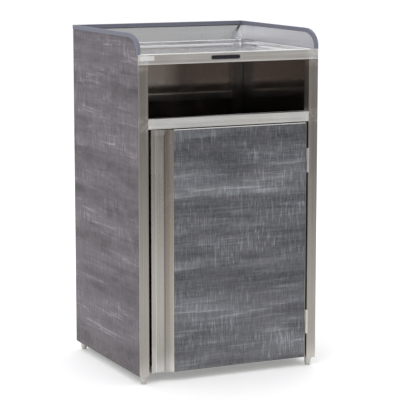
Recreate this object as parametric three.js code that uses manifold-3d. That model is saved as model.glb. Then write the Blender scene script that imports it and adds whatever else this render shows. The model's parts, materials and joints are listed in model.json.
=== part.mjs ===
// Tray-top waste station: a stainless cabinet with laminate-clad panels, a recessed
// tray top inside a three-sided gallery, an open waste slot and one hinged door.
// Millimetres, +Z up, +X right and -Y towards the door side. The origin is on the
// floor, under the middle of the closed cabinet.
import * as THREE from 'three';
import { mergeVertices } from 'three/addons/utils/BufferGeometryUtils.js';
import Module from 'manifold-3d';

const wasm = await Module();
wasm.setup();

// ---- Driving dimensions -------------------------------------------------------------
const WIDTH = 673;
const DEPTH = 590;
const HEIGHT = 1185;
const GAP = 0.3; // between pieces that rest on each other
const SHEET = 1.5; // formed stainless sheet
const LINER = 1.2; // thin stainless lining sheet
const PANEL = 6.5; // laminate-clad board

const BASE_Z = 30; // underside of posts and panels, on the feet
const RIM_Z = 1118; // top of the tray's rim
const TRAY_DROP = 17;
const APRON = 35; // height of the tray's front apron
const SLOT = 180; // height of the waste slot under the apron
const HEADER = 34; // height of the rail between slot and door

const POST_FACE = 35; // front posts, seen from the front
const POST_DEPTH = 33;
const REAR_POST_FACE = 43.6;
const REAR_POST_DEPTH = 21.7;
const RAIL = 25; // height of the lower frame rails
const MID_RAIL_Z = 899; // underside of the rear rail behind the slot

const CORNER_RUN = 84; // the gallery side's rounded front corner, along Y
const CORNER_RISE = 57; // and along Z
const TRIM = 1; // wall of the U-shaped edge trim
const TRIM_LEG = 13;
const SPLASH_FOOT = 560; // the sloping back splash starts here, behind the front plane
const SPLASH_RISE = 51;
const SPLASH_LEAN = 22;

const DOOR_LEFT = -286;
const DOOR_RIGHT = 294;
const DOOR_BOTTOM = 33.4;
const DOOR_TOP = 865;
const DOOR_DEPTH = 25;
const PULL_RIGHT = -208.5; // where the trough of the pull meets the laminate
const PULL_DEPTH = 19;

const HINGE_RADIUS = 4.5;
const HINGE_SET_BACK = -3.5; // barrel axis, ahead of the front plane
const HINGE_HEIGHT = 85;
const HINGE_BOTTOMS = { upper: 691, lower: 120 };
const PIN_RADIUS = 2.3;
const PIN_CLEARANCE = 0.3;

const FOOT_X = 315.5;
const FOOT_Y = { front: 17, rear: 567.8 };
const STEM_RADIUS = 4;

const BIN = { top: 490, bottom: 420, depthRatio: 0.94, height: 720, wall: 3 };

// ---- Places worked out from them ----------------------------------------------------
const HALF = WIDTH / 2;
const POST_INNER = HALF - POST_FACE; // half width of the door and slot openings
const PANEL_INNER = HALF - PANEL; // inside face of a side panel
const CAVITY = PANEL_INNER - GAP; // half width between the side panels
const LINED = CAVITY - LINER - GAP; // half width between the side liners
const APRON_Z = RIM_Z - APRON;
const HEADER_TOP = APRON_Z - SLOT;
const HEADER_Z = HEADER_TOP - HEADER;
const TRAY_Z = RIM_Z - TRAY_DROP;
const FRAME_TOP = TRAY_Z - SHEET - GAP; // the top rails carry the tray here
const PANEL_TOP = HEIGHT - TRIM - GAP;
const PANEL_FRONT = SHEET + GAP; // panels start behind the post flanges
const BACK_INNER = DEPTH - PANEL; // inside face of the back panel
const REAR_FACE = BACK_INNER - GAP - LINER - GAP - REAR_POST_DEPTH; // front of a rear post
const RAIL_TOP = BASE_Z + RAIL;
const FLOOR_Z = RAIL_TOP + GAP;
const HINGE_X = (DOOR_RIGHT + POST_INNER) / 2;
const BARREL_FRONT = HINGE_SET_BACK - HINGE_RADIUS;
const BACK_EDGE = DEPTH + GAP + TRIM;
const FRONT_Y = -(BARREL_FRONT + BACK_EDGE) / 2; // the front plane, from the origin

// ---- Materials ------------------------------------------------------------------------
const paint = (color, roughness, metalness) =>
  new THREE.MeshStandardMaterial({ color, roughness, metalness });
const steel = paint(0xb4b1aa, 0.34, 0.9);
const darkSteel = paint(0x8d8a86, 0.4, 0.85);
const laminate = paint(0x6b6a70, 0.6, 0);
const slate = paint(0x6a6e7a, 0.45, 0);
const bright = paint(0xc9c8c4, 0.25, 0.95);
const blackPlastic = paint(0x15171d, 0.4, 0);
const whitePlastic = paint(0xe6e6e4, 0.4, 0);
const binPlastic = paint(0x44484c, 0.6, 0);

// ---- Geometry helpers -------------------------------------------------------------------
const cabinet = new THREE.Group(); // its local Y is measured from the front plane
cabinet.position.y = FRONT_Y;

function put(name, geometry, material) {
  const mesh = new THREE.Mesh(geometry, material);
  mesh.name = name;
  cabinet.add(mesh);
}

function box([x0, x1], [y0, y1], [z0, z1]) {
  const geometry = new THREE.BoxGeometry(x1 - x0, y1 - y0, z1 - z0);
  return geometry.translate((x0 + x1) / 2, (y0 + y1) / 2, (z0 + z1) / 2);
}

// A mirrored pair of X limits: the piece on one side, from its inner and outer |x|.
const across = (side, inner, outer) => (side < 0 ? [-outer, -inner] : [inner, outer]);
const centred = (half) => [-half, half];

const outline = (points) => new THREE.Shape(points.map(([a, b]) => new THREE.Vector2(a, b)));

// Extrudes an (x, y) outline upwards from z0 to z1.
function upright(shape, [z0, z1]) {
  const geometry = new THREE.ExtrudeGeometry(shape, { depth: z1 - z0, bevelEnabled: false });
  return geometry.translate(0, 0, z0);
}

// Extrudes a (y, z) outline sideways from x0 to x1.
function sideways(shape, [x0, x1], curveSegments = 12) {
  const options = { depth: x1 - x0, bevelEnabled: false, curveSegments };
  const geometry = new THREE.ExtrudeGeometry(shape, options);
  const turn = new THREE.Matrix4().makeBasis(
    new THREE.Vector3(0, 1, 0), new THREE.Vector3(0, 0, 1), new THREE.Vector3(1, 0, 0));
  return geometry.applyMatrix4(turn).translate(x0, 0, 0);
}

// A rod along X or Z, given its two ends along that axis.
function rod(axis, radius, [from, to], [a, b], segments = 12) {
  const geometry = new THREE.CylinderGeometry(radius, radius, to - from, segments);
  if (axis === 'x') return geometry.rotateZ(Math.PI / 2).translate((from + to) / 2, a, b);
  return geometry.rotateX(Math.PI / 2).translate(a, b, (from + to) / 2);
}

function solid(geometry) {
  const bare = geometry.clone();
  bare.deleteAttribute('normal');
  bare.deleteAttribute('uv');
  const merged = mergeVertices(bare, 1e-4);
  return new wasm.Manifold(new wasm.Mesh({
    numProp: 3,
    vertProperties: new Float32Array(merged.attributes.position.array),
    triVerts: new Uint32Array(merged.index.array),
  }));
}

function shaped(manifold) {
  const mesh = manifold.getMesh();
  const geometry = new THREE.BufferGeometry();
  geometry.setAttribute('position', new THREE.BufferAttribute(mesh.vertProperties, 3));
  geometry.setIndex(new THREE.BufferAttribute(mesh.triVerts, 1));
  geometry.computeVertexNormals();
  return geometry;
}

const join = (...geometries) =>
  shaped(geometries.map(solid).reduce((whole, piece) => whole.add(piece)));
const cut = (body, ...tools) =>
  shaped(tools.map(solid).reduce((whole, tool) => whole.subtract(tool), solid(body)));

// A rectangular tube standing upright, open at both ends.
function uprightTube([x0, x1], [y0, y1], zs, wall = SHEET) {
  const shape = outline([[x0, y0], [x1, y0], [x1, y1], [x0, y1]]);
  shape.holes.push(new THREE.Path(outline([
    [x0 + wall, y0 + wall], [x0 + wall, y1 - wall], [x1 - wall, y1 - wall], [x1 - wall, y0 + wall],
  ]).getPoints()));
  return upright(shape, zs);
}

// A rectangular tube lying along X or Y, open at both ends.
function lyingTube(axis, xs, ys, zs, wall = SHEET) {
  const shrink = ([low, high]) => [low + wall, high - wall];
  const reach = ([low, high]) => [low - 1, high + 1];
  const hollow = axis === 'x'
    ? box(reach(xs), shrink(ys), shrink(zs))
    : box(shrink(xs), reach(ys), shrink(zs));
  return cut(box(xs, ys, zs), hollow);
}

// ---- Where the hinge screws go ------------------------------------------------------------
const SCREW = { shank: 1.8, hole: 2.1, head: 3.4, headHeight: 1, length: 9 };
const LEAF = { thickness: 1.5, start: 2.2, height: 41 };
const DOOR_LEAF_Y = [HINGE_SET_BACK + LEAF.start, DOOR_DEPTH - 2];
const FRAME_LEAF_Y = [HINGE_SET_BACK + LEAF.start, POST_DEPTH - 3];
const SCREW_Y = 15;
const SCREW_RISES = [10, 31]; // above the bottom of the leaf

// A hinge has the frame's half below and the door's half above, so the door lifts off.
const leafBottom = (bottom, onDoor) => bottom + (onDoor ? HINGE_HEIGHT - LEAF.height - 0.5 : 0.5);

function hingeScrewPlaces(onDoor) {
  return Object.entries(HINGE_BOTTOMS).flatMap(([hinge, bottom]) =>
    SCREW_RISES.map((rise, i) => ({
      name: `${hinge}_${onDoor ? 'door' : 'frame'}_screw_${i + 1}`,
      z: leafBottom(bottom, onDoor) + rise,
    })));
}

const screwHoles = (onDoor, xs) =>
  hingeScrewPlaces(onDoor).map(({ z }) => rod('x', SCREW.hole, xs, [SCREW_Y, z], 10));

// ---- Frame ----------------------------------------------------------------------------------
function frontPost(side) {
  const flange = box(across(side, POST_INNER, HALF), [0, SHEET], [BASE_Z, APRON_Z - GAP]);
  const tube = uprightTube(across(side, POST_INNER, CAVITY), [0, POST_DEPTH],
    [BASE_Z, APRON_Z - GAP]);
  const post = join(flange, tube);
  if (side < 0) return post;
  return cut(post, ...screwHoles(false, [POST_INNER - 1, POST_INNER + SHEET + 1]));
}

function frame() {
  const postZ = [BASE_Z, APRON_Z - GAP];
  const rearY = [REAR_FACE, REAR_FACE + REAR_POST_DEPTH];
  const lowZ = [BASE_Z, RAIL_TOP];
  const topZ = [APRON_Z, FRAME_TOP];
  const sideY = [POST_DEPTH + GAP, REAR_FACE - GAP];
  for (const [word, side] of [['left', -1], ['right', 1]]) {
    put(`front_post_${word}`, frontPost(side), steel);
    const rearX = across(side, LINED - REAR_POST_FACE, LINED);
    put(`rear_post_${word}`, uprightTube(rearX, rearY, postZ), darkSteel);
    const railX = across(side, POST_INNER, LINED);
    put(`side_bottom_rail_${word}`, lyingTube('y', railX, sideY, lowZ), darkSteel);
    put(`side_top_rail_${word}`, lyingTube('y', railX, sideY, topZ), darkSteel);
  }
  const betweenRear = centred(LINED - REAR_POST_FACE - GAP);
  put('header_rail', lyingTube('x', centred(POST_INNER - GAP), [0, POST_DEPTH],
    [HEADER_Z, HEADER_TOP]), steel);
  put('front_bottom_rail', lyingTube('x', centred(POST_INNER - GAP),
    [POST_DEPTH + GAP, POST_DEPTH + GAP + 20], lowZ), darkSteel);
  put('front_top_rail', lyingTube('x', centred(LINED), [PANEL_FRONT, POST_DEPTH], topZ), darkSteel);
  put('rear_bottom_rail', lyingTube('x', betweenRear, rearY, lowZ), darkSteel);
  put('rear_mid_rail', lyingTube('x', betweenRear, rearY, [MID_RAIL_Z, MID_RAIL_Z + RAIL]), darkSteel);
  put('rear_top_rail', lyingTube('x', centred(LINED), rearY, topZ), darkSteel);
}

// ---- Panels and linings -----------------------------------------------------------------------
// The side panel's outline above zBottom, with its rounded front corner, grown by `grow`.
function sideOutline(zBottom, grow = 0, back = DEPTH + grow) {
  const front = PANEL_FRONT - grow;
  const top = PANEL_TOP + grow;
  const centreY = PANEL_FRONT + CORNER_RUN;
  const centreZ = PANEL_TOP - CORNER_RISE;
  const shape = new THREE.Shape();
  shape.moveTo(front, zBottom);
  shape.lineTo(front, centreZ);
  shape.absellipse(centreY, centreZ, CORNER_RUN + grow, CORNER_RISE + grow,
    Math.PI, Math.PI / 2, true, 0);
  shape.lineTo(back, top);
  shape.lineTo(back, zBottom);
  shape.closePath();
  return shape;
}

function panels() {
  const linerZ = [FLOOR_Z, APRON_Z - GAP];
  for (const [word, side] of [['left', -1], ['right', 1]]) {
    put(`side_panel_${word}`, sideways(sideOutline(BASE_Z), across(side, PANEL_INNER, HALF)),
      laminate);
    put(`side_liner_${word}`, box(across(side, CAVITY - LINER, CAVITY),
      [POST_DEPTH + GAP, BACK_INNER - GAP], linerZ), steel);
  }
  put('back_panel', box(centred(CAVITY), [BACK_INNER, DEPTH], [BASE_Z, PANEL_TOP]), laminate);
  put('back_liner', box(centred(LINED), [BACK_INNER - GAP - LINER, BACK_INNER - GAP], linerZ),
    steel);
  put('floor_pan', cut(
    box(centred(LINED), [POST_DEPTH + 2 * GAP, REAR_FACE - GAP], [FLOOR_Z, FLOOR_Z + 14]),
    box(centred(LINED - SHEET), [0, REAR_FACE - GAP - SHEET], [FLOOR_Z + SHEET, FLOOR_Z + 20])),
  steel);
}

// ---- Tray top and gallery -----------------------------------------------------------------------
const BADGE = { left: -64, right: 30, z: 1100.8, radius: 7.8 }; // centres of its round ends
const LABEL = { xs: [-331, -279], zs: [1097, 1112] };
const RIM = { front: 6, side: 14.1, back: 556 };

function worktop() {
  const inside = CAVITY - RIM.side;
  const flange = box(centred(CAVITY), [0, BACK_INNER - GAP], [RIM_Z - SHEET, RIM_Z]);
  const tub = box(centred(inside + SHEET), [RIM.front - SHEET, RIM.back + SHEET],
    [TRAY_Z - SHEET, RIM_Z]);
  const apron = box(centred(HALF), [0, SHEET], [APRON_Z, RIM_Z]);
  const recess = box(centred(inside), [RIM.front, RIM.back], [TRAY_Z, RIM_Z + 1]);
  return cut(join(flange, tub, apron), recess);
}

// The U-shaped trim over a gallery side: an outer skin with the board's slot cut out.
function sideTrim(side) {
  const foot = RIM_Z + GAP;
  const outer = sideOutline(foot, GAP + TRIM);
  const board = sideOutline(foot - 1, GAP);
  const opening = sideOutline(foot - 1, -TRIM_LEG);
  const inner = CAVITY - LINER - GAP;
  const open = sideways(opening, across(side, 0, HALF + 20));
  const beyond = box(across(side, 0, HALF + 20), [DEPTH - TRIM_LEG - 1, DEPTH + 20],
    [foot - 1, PANEL_TOP - TRIM_LEG]);
  const backBoard = box(across(side, 0, PANEL_INNER),
    [BACK_INNER - 2 * GAP - TRIM, DEPTH + GAP], [foot - 1, PANEL_TOP + GAP]);
  return cut(
    sideways(outer, across(side, inner - TRIM, HALF + GAP + TRIM)),
    sideways(board, across(side, inner, HALF + GAP)), open, beyond, backBoard);
}

function backTrim() {
  const inner = CAVITY - LINER - GAP - TRIM - GAP;
  const zs = [PANEL_TOP - TRIM_LEG, HEIGHT];
  const slot = box(centred(inner + 1), [BACK_INNER - GAP, DEPTH + GAP], [0, PANEL_TOP + GAP]);
  return cut(box(centred(inner), [BACK_INNER - GAP - TRIM, BACK_EDGE], zs), slot);
}

function trayTop() {
  put('worktop', worktop(), steel);
  const foot = RIM_Z + GAP;
  const lean = Math.hypot(SPLASH_RISE, SPLASH_LEAN);
  const thickAcross = (SPLASH_RISE / lean) * LINER; // the sheet's thickness, along Y
  const thickUp = (SPLASH_LEAN / lean) * LINER; // and along Z
  const splashTop = SPLASH_FOOT + SPLASH_LEAN;
  put('back_splash', sideways(outline([
    [SPLASH_FOOT, foot], [SPLASH_FOOT + LINER, foot],
    [splashTop, foot + SPLASH_RISE - thickUp], [splashTop - thickAcross, foot + SPLASH_RISE],
  ]), centred(LINED)), bright);
  for (const [word, side] of [['left', -1], ['right', 1]]) {
    put(`gallery_liner_${word}`, sideways(sideOutline(foot, 0, BACK_INNER - GAP),
      across(side, CAVITY - LINER, CAVITY)), bright);
    put(`edge_trim_${word}`, sideTrim(side), slate);
  }
  put('edge_trim_back', backTrim(), slate);
  const badge = new THREE.Shape();
  const { left, right, z, radius } = BADGE;
  badge.absarc(left, z, radius, Math.PI / 2, (3 * Math.PI) / 2, false);
  badge.absarc(right, z, radius, -Math.PI / 2, Math.PI / 2, false);
  const badgePlate = new THREE.ExtrudeGeometry(badge,
    { depth: 0.9, bevelEnabled: false, curveSegments: 8 });
  put('name_plate', badgePlate.rotateX(Math.PI / 2).translate(0, -GAP, 0), blackPlastic);
  put('notice_label', box(LABEL.xs, [-GAP - 0.4, -GAP], LABEL.zs), whitePlastic);
}

// ---- Door ---------------------------------------------------------------------------------------
const LIP_Y = 13; // the latch edge is set back, so that fingers reach behind it
const CREASE_X = -267; // where the lip meets the trough's floor
const WALL_X = -237; // where the floor meets the sloping wall
const TROUGH = [[DOOR_LEFT, LIP_Y], [CREASE_X, PULL_DEPTH], [WALL_X, PULL_DEPTH], [PULL_RIGHT, 0]];
const CAP_DROP = CREASE_X - DOOR_LEFT; // so the trough's top end is mitred with the lip
const BOARD = 9.5; // the door's laminate-faced board
const CATCH_X = [-262, -222];

function doorPan() {
  const back = DOOR_DEPTH - SHEET;
  const outer = box([DOOR_LEFT, DOOR_RIGHT], [0, DOOR_DEPTH], [DOOR_BOTTOM, DOOR_TOP]);
  const inner = box([DOOR_LEFT - 1, DOOR_RIGHT - SHEET], [-1, back],
    [DOOR_BOTTOM + SHEET, DOOR_TOP - SHEET]);
  const mouth = outline([
    [DOOR_LEFT - 1, -1], [PULL_RIGHT, -1], [PULL_RIGHT, 0], [WALL_X, PULL_DEPTH + GAP],
    [DOOR_LEFT - 1, PULL_DEPTH + GAP],
  ]);
  const troughEnds = [DOOR_BOTTOM, DOOR_TOP - SHEET].map((z) =>
    upright(mouth, [z - 0.5, z + SHEET + 0.5]));
  return cut(outer, inner, ...troughEnds,
    ...screwHoles(true, [DOOR_RIGHT - SHEET - 1, DOOR_RIGHT + 1]));
}

// The pull is one formed sheet: a back flange, the set-back lip, the trough's floor and
// sloping wall, and a flange against the laminate.
function doorPull(zs) {
  const flange = 9;
  const behind = DOOR_DEPTH - SHEET - GAP;
  return upright(outline([
    ...TROUGH, [PULL_RIGHT, flange], [PULL_RIGHT - LINER, flange],
    [PULL_RIGHT - LINER, LINER * 1.6], [WALL_X + LINER / 2, PULL_DEPTH + LINER],
    [CREASE_X - LINER / 4, PULL_DEPTH + LINER], [DOOR_LEFT + LINER, LIP_Y + LINER * 1.4],
    [DOOR_LEFT + LINER, behind], [DOOR_LEFT, behind],
  ]), zs);
}

// The cap closes the top of the trough with a face that slopes back to the trough's floor.
function pullCap(top) {
  const [lipEdge, lipFloor, wallFloor, wallEdge] = TROUGH;
  const trough = upright(outline([
    [lipEdge[0] + GAP, lipEdge[1] - GAP], [lipFloor[0], lipFloor[1] - GAP],
    [wallFloor[0] - GAP, wallFloor[1] - GAP], [wallEdge[0] - 2 * GAP, wallEdge[1]],
    [lipEdge[0] + GAP, 0],
  ]), [top - CAP_DROP - 5, top]);
  const rise = (PULL_DEPTH - LIP_Y) / CAP_DROP; // of the sloping face
  const behind = sideways(outline([
    [LIP_Y - GAP - rise, top + 1], [PULL_DEPTH + 1, top + 1],
    [PULL_DEPTH + 1, top - CAP_DROP - 1], [PULL_DEPTH - GAP, top - CAP_DROP],
  ]), [DOOR_LEFT, PULL_RIGHT]);
  return shaped(solid(trough).intersect(solid(behind)));
}

function door() {
  put('door_pan', doorPan(), steel);
  const pullZ = [DOOR_BOTTOM + SHEET + GAP, DOOR_TOP - SHEET - GAP];
  put('door_pull', doorPull(pullZ), steel);
  put('pull_end_cap', pullCap(DOOR_TOP), steel);
  const inset = SHEET + GAP;
  const boardX = [PULL_RIGHT + GAP, DOOR_RIGHT - inset];
  put('door_laminate', box(boardX, [0, BOARD], [DOOR_BOTTOM + inset, DOOR_TOP - inset]), laminate);
  const [catchLeft, catchRight] = CATCH_X;
  put('catch_strike', box([catchLeft + 5, catchRight - 5],
    [DOOR_DEPTH + GAP, DOOR_DEPTH + GAP + LINER], [DOOR_TOP - 20, DOOR_TOP - 5]), bright);
}

// ---- Hinges and catch ----------------------------------------------------------------------------
function hingeLeaf(bottom, onDoor) {
  const zs = [leafBottom(bottom, onDoor), leafBottom(bottom, onDoor) + LEAF.height];
  const knuckle = rod('z', HINGE_RADIUS, zs, [HINGE_X, HINGE_SET_BACK], 24);
  const bore = rod('z', PIN_RADIUS + PIN_CLEARANCE, [zs[0] - 1, zs[1] + 1],
    [HINGE_X, HINGE_SET_BACK], 24);
  const plateX = onDoor
    ? [DOOR_RIGHT + GAP, DOOR_RIGHT + GAP + LEAF.thickness]
    : [POST_INNER - GAP - LEAF.thickness, POST_INNER - GAP];
  const plate = box(plateX, onDoor ? DOOR_LEAF_Y : FRAME_LEAF_Y, zs);
  const holes = SCREW_RISES.map((rise) =>
    rod('x', SCREW.hole, [plateX[0] - 1, plateX[1] + 1], [SCREW_Y, zs[0] + rise], 10));
  return cut(join(knuckle, plate), bore, ...holes);
}

function hingePin(bottom) {
  const middle = bottom + HINGE_HEIGHT / 2;
  const shaft = rod('z', PIN_RADIUS, [bottom + 2, bottom + HINGE_HEIGHT - 2],
    [HINGE_X, HINGE_SET_BACK], 24);
  const washer = rod('z', HINGE_RADIUS - 0.3, [middle - 0.6, middle + 0.6],
    [HINGE_X, HINGE_SET_BACK], 24);
  return join(shaft, washer);
}

// A pan-head screw along X; `under` is the face that its head bears on.
function screw(under, direction, z) {
  const head = [under, under - direction * SCREW.headHeight].sort((a, b) => a - b);
  const shank = [under, under + direction * SCREW.length].sort((a, b) => a - b);
  shank[direction > 0 ? 0 : 1] -= direction * (SCREW.headHeight / 2);
  return join(rod('x', SCREW.head, head, [SCREW_Y, z], 12),
    rod('x', SCREW.shank, shank, [SCREW_Y, z], 8));
}

function hinges() {
  for (const [word, bottom] of Object.entries(HINGE_BOTTOMS)) {
    put(`${word}_hinge_frame_leaf`, hingeLeaf(bottom, false), steel);
    put(`${word}_hinge_door_leaf`, hingeLeaf(bottom, true), steel);
    put(`${word}_hinge_pin`, hingePin(bottom), bright);
  }
  const onDoor = DOOR_RIGHT + GAP + LEAF.thickness + GAP;
  const onFrame = POST_INNER - GAP - LEAF.thickness - GAP;
  for (const { name, z } of hingeScrewPlaces(true)) put(name, screw(onDoor, -1, z), bright);
  for (const { name, z } of hingeScrewPlaces(false)) put(name, screw(onFrame, 1, z), bright);
}

// A magnetic catch hung behind the header rail, facing the strike on the door's back.
function catchBody() {
  const face = DOOR_DEPTH + GAP + LINER + GAP;
  const tab = POST_DEPTH + GAP;
  const top = DOOR_TOP - 1;
  return join(box(CATCH_X, [face, face + 20], [top - 22, top]),
    box(CATCH_X, [tab, tab + 1.6], [top - 1, top + 31]));
}

// ---- Feet and bin ----------------------------------------------------------------------------------
const FOOT = { shoulder: 11.5, tip: 9, tipHeight: 9, stemTop: 44 };

function footSocket(side, row) {
  const centre = [side * FOOT_X, FOOT_Y[row]];
  const clear = SHEET + 0.4;
  const plug = row === 'front'
    ? box(across(side, POST_INNER + clear, CAVITY - clear), [clear, POST_DEPTH - clear],
      [BASE_Z - GAP - 1, BASE_Z + 16])
    : box(across(side, LINED - REAR_POST_FACE + clear, LINED - clear),
      [REAR_FACE + clear, REAR_FACE + REAR_POST_DEPTH - clear], [BASE_Z - GAP - 1, BASE_Z + 16]);
  const collar = rod('z', FOOT.shoulder, [FOOT.tipHeight + GAP, BASE_Z - GAP], centre, 20);
  const bore = rod('z', STEM_RADIUS + GAP, [0, BASE_Z + 20], centre, 16);
  return cut(join(plug, collar), bore);
}

function levellingFoot(side, row) {
  const profile = [[0, 0], [FOOT.tip - 2, 0], [FOOT.tip, 2], [FOOT.tip, FOOT.tipHeight],
    [STEM_RADIUS, FOOT.tipHeight], [STEM_RADIUS, FOOT.stemTop], [0, FOOT.stemTop]];
  const geometry = new THREE.LatheGeometry(profile.map(([r, z]) => new THREE.Vector2(r, z)), 20);
  return geometry.rotateX(Math.PI / 2).translate(side * FOOT_X, FOOT_Y[row], 0);
}

function feet() {
  for (const row of ['front', 'rear']) {
    for (const [word, side] of [['left', -1], ['right', 1]]) {
      put(`foot_socket_${row}_${word}`, footSocket(side, row), steel);
      put(`foot_${row}_${word}`, levellingFoot(side, row), steel);
    }
  }
}

// A four-sided tapered block, `top` and `bottom` across, standing on z.
function taper(top, bottom, height, z) {
  const geometry = new THREE.CylinderGeometry(top / Math.SQRT2, bottom / Math.SQRT2, height, 4);
  return geometry.rotateY(Math.PI / 4).rotateX(Math.PI / 2).scale(1, BIN.depthRatio, 1)
    .translate(0, (POST_DEPTH + REAR_FACE) / 2, z + height / 2);
}

function innerBin() {
  const floor = FLOOR_Z + SHEET + GAP;
  const lip = 22;
  const outer = taper(BIN.top, BIN.bottom, BIN.height, floor);
  const rim = taper(BIN.top + 24, BIN.top + 22, lip, floor + BIN.height - lip);
  const inner = taper(BIN.top - 2 * BIN.wall, BIN.bottom - 2 * BIN.wall, BIN.height,
    floor + BIN.wall);
  return cut(join(outer, rim), inner);
}

// A U-shaped guide on the floor pan: it centres the bin and stops it at the back.
function binGuide() {
  const foot = FLOOR_Z + SHEET + GAP;
  const face = BIN.bottom / 2 + 8;
  const stop = (POST_DEPTH + REAR_FACE) / 2 + face * BIN.depthRatio;
  const ys = [POST_DEPTH + 30, stop + SHEET];
  const high = [foot, foot + 22];
  const low = [foot, foot + SHEET];
  return join(
    box([-face - SHEET, -face], ys, high), box([-face - 18, -face], ys, low),
    box([face, face + SHEET], ys, high), box([face, face + 18], ys, low),
    box(centred(face), [stop, stop + SHEET], high), box(centred(face), [stop, stop + 18], low));
}

frame();
panels();
trayTop();
door();
hinges();
put('magnetic_catch', catchBody(), blackPlastic);
feet();
put('inner_bin', innerBin(), binPlastic);
put('bin_guide', binGuide(), darkSteel);

const part = new THREE.Group();
part.add(cabinet);
export default part;
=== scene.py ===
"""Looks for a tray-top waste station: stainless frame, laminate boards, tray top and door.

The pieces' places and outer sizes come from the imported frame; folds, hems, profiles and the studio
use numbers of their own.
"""

import json
import logging
import math
from collections.abc import Callable, Iterable, Sequence
from dataclasses import dataclass, field
from enum import Enum

import bmesh
import bpy
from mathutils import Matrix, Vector

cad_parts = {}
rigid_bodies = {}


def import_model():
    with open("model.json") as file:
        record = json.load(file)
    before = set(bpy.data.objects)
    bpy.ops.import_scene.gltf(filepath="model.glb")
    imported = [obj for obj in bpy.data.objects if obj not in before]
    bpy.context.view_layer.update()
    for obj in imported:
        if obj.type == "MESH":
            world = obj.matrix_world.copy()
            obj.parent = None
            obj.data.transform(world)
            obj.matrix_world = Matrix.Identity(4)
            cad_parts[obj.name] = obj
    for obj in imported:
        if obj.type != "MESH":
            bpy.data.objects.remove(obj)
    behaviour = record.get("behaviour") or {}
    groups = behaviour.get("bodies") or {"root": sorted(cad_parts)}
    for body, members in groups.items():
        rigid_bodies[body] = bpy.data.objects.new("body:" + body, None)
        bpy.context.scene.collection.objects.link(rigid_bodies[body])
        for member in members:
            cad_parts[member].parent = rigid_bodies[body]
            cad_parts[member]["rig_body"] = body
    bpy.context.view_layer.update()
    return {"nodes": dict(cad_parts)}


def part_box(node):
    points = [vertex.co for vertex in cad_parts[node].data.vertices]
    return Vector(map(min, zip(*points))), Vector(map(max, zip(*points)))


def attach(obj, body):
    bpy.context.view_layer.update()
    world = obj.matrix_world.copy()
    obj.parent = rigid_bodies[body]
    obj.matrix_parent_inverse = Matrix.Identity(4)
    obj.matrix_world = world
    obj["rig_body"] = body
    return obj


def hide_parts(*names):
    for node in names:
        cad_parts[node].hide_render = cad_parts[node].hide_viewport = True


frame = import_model()

LOG = logging.getLogger("waste_station")
MM = 0.001
SHARP = 0.45  # radians; an edge that turns by more is rounded
GLUE_LINE = 0.05 * MM  # between a board's core and its laminate

Point = tuple[float, float]
Loop = list[Point]
Triple = tuple[float, float, float]
Rgba = tuple[float, float, float, float]
Ring = list[bmesh.types.BMVert]
Socket = bpy.types.NodeSocket


# ---- Named choices ----
class Axis(Enum):
    """A direction of the row frame, used for grain and for extruding."""

    X = 0
    Y = 1
    Z = 2


class Plane(Enum):
    """The plane that an outline is drawn in; it is extruded along the third axis."""

    XY = (0, 1, 2)
    YZ = (1, 2, 0)
    XZ = (0, 2, 1)


class Side(Enum):
    """The sides of the cabinet, each by the sign of X there."""

    LEFT = -1
    RIGHT = 1

    @property
    def word(self) -> str:
        """The side as it stands in the names of nodes."""
        return self.name.lower()


class Row(Enum):
    """The rows of feet, as they stand in the names of nodes."""

    FRONT = "front"
    REAR = "rear"


class Leaf(Enum):
    """What a hinge leaf is screwed to, as it stands in the names of nodes."""

    FRAME = "frame"
    DOOR = "door"


class Slot(Enum):
    """The record's material slots."""

    STAINLESS = "brushed_stainless"
    FRAME = "frame_stainless"
    LINING = "lining_stainless"
    HARDWARE = "hardware_stainless"
    FOOT = "foot_stainless"
    LAMINATE = "grey_laminate"
    TRIM = "slate_trim"
    PLATE = "plate_black"
    CATCH = "catch_plastic"
    LABEL = "label_white"
    BIN = "bin_plastic"


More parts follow.
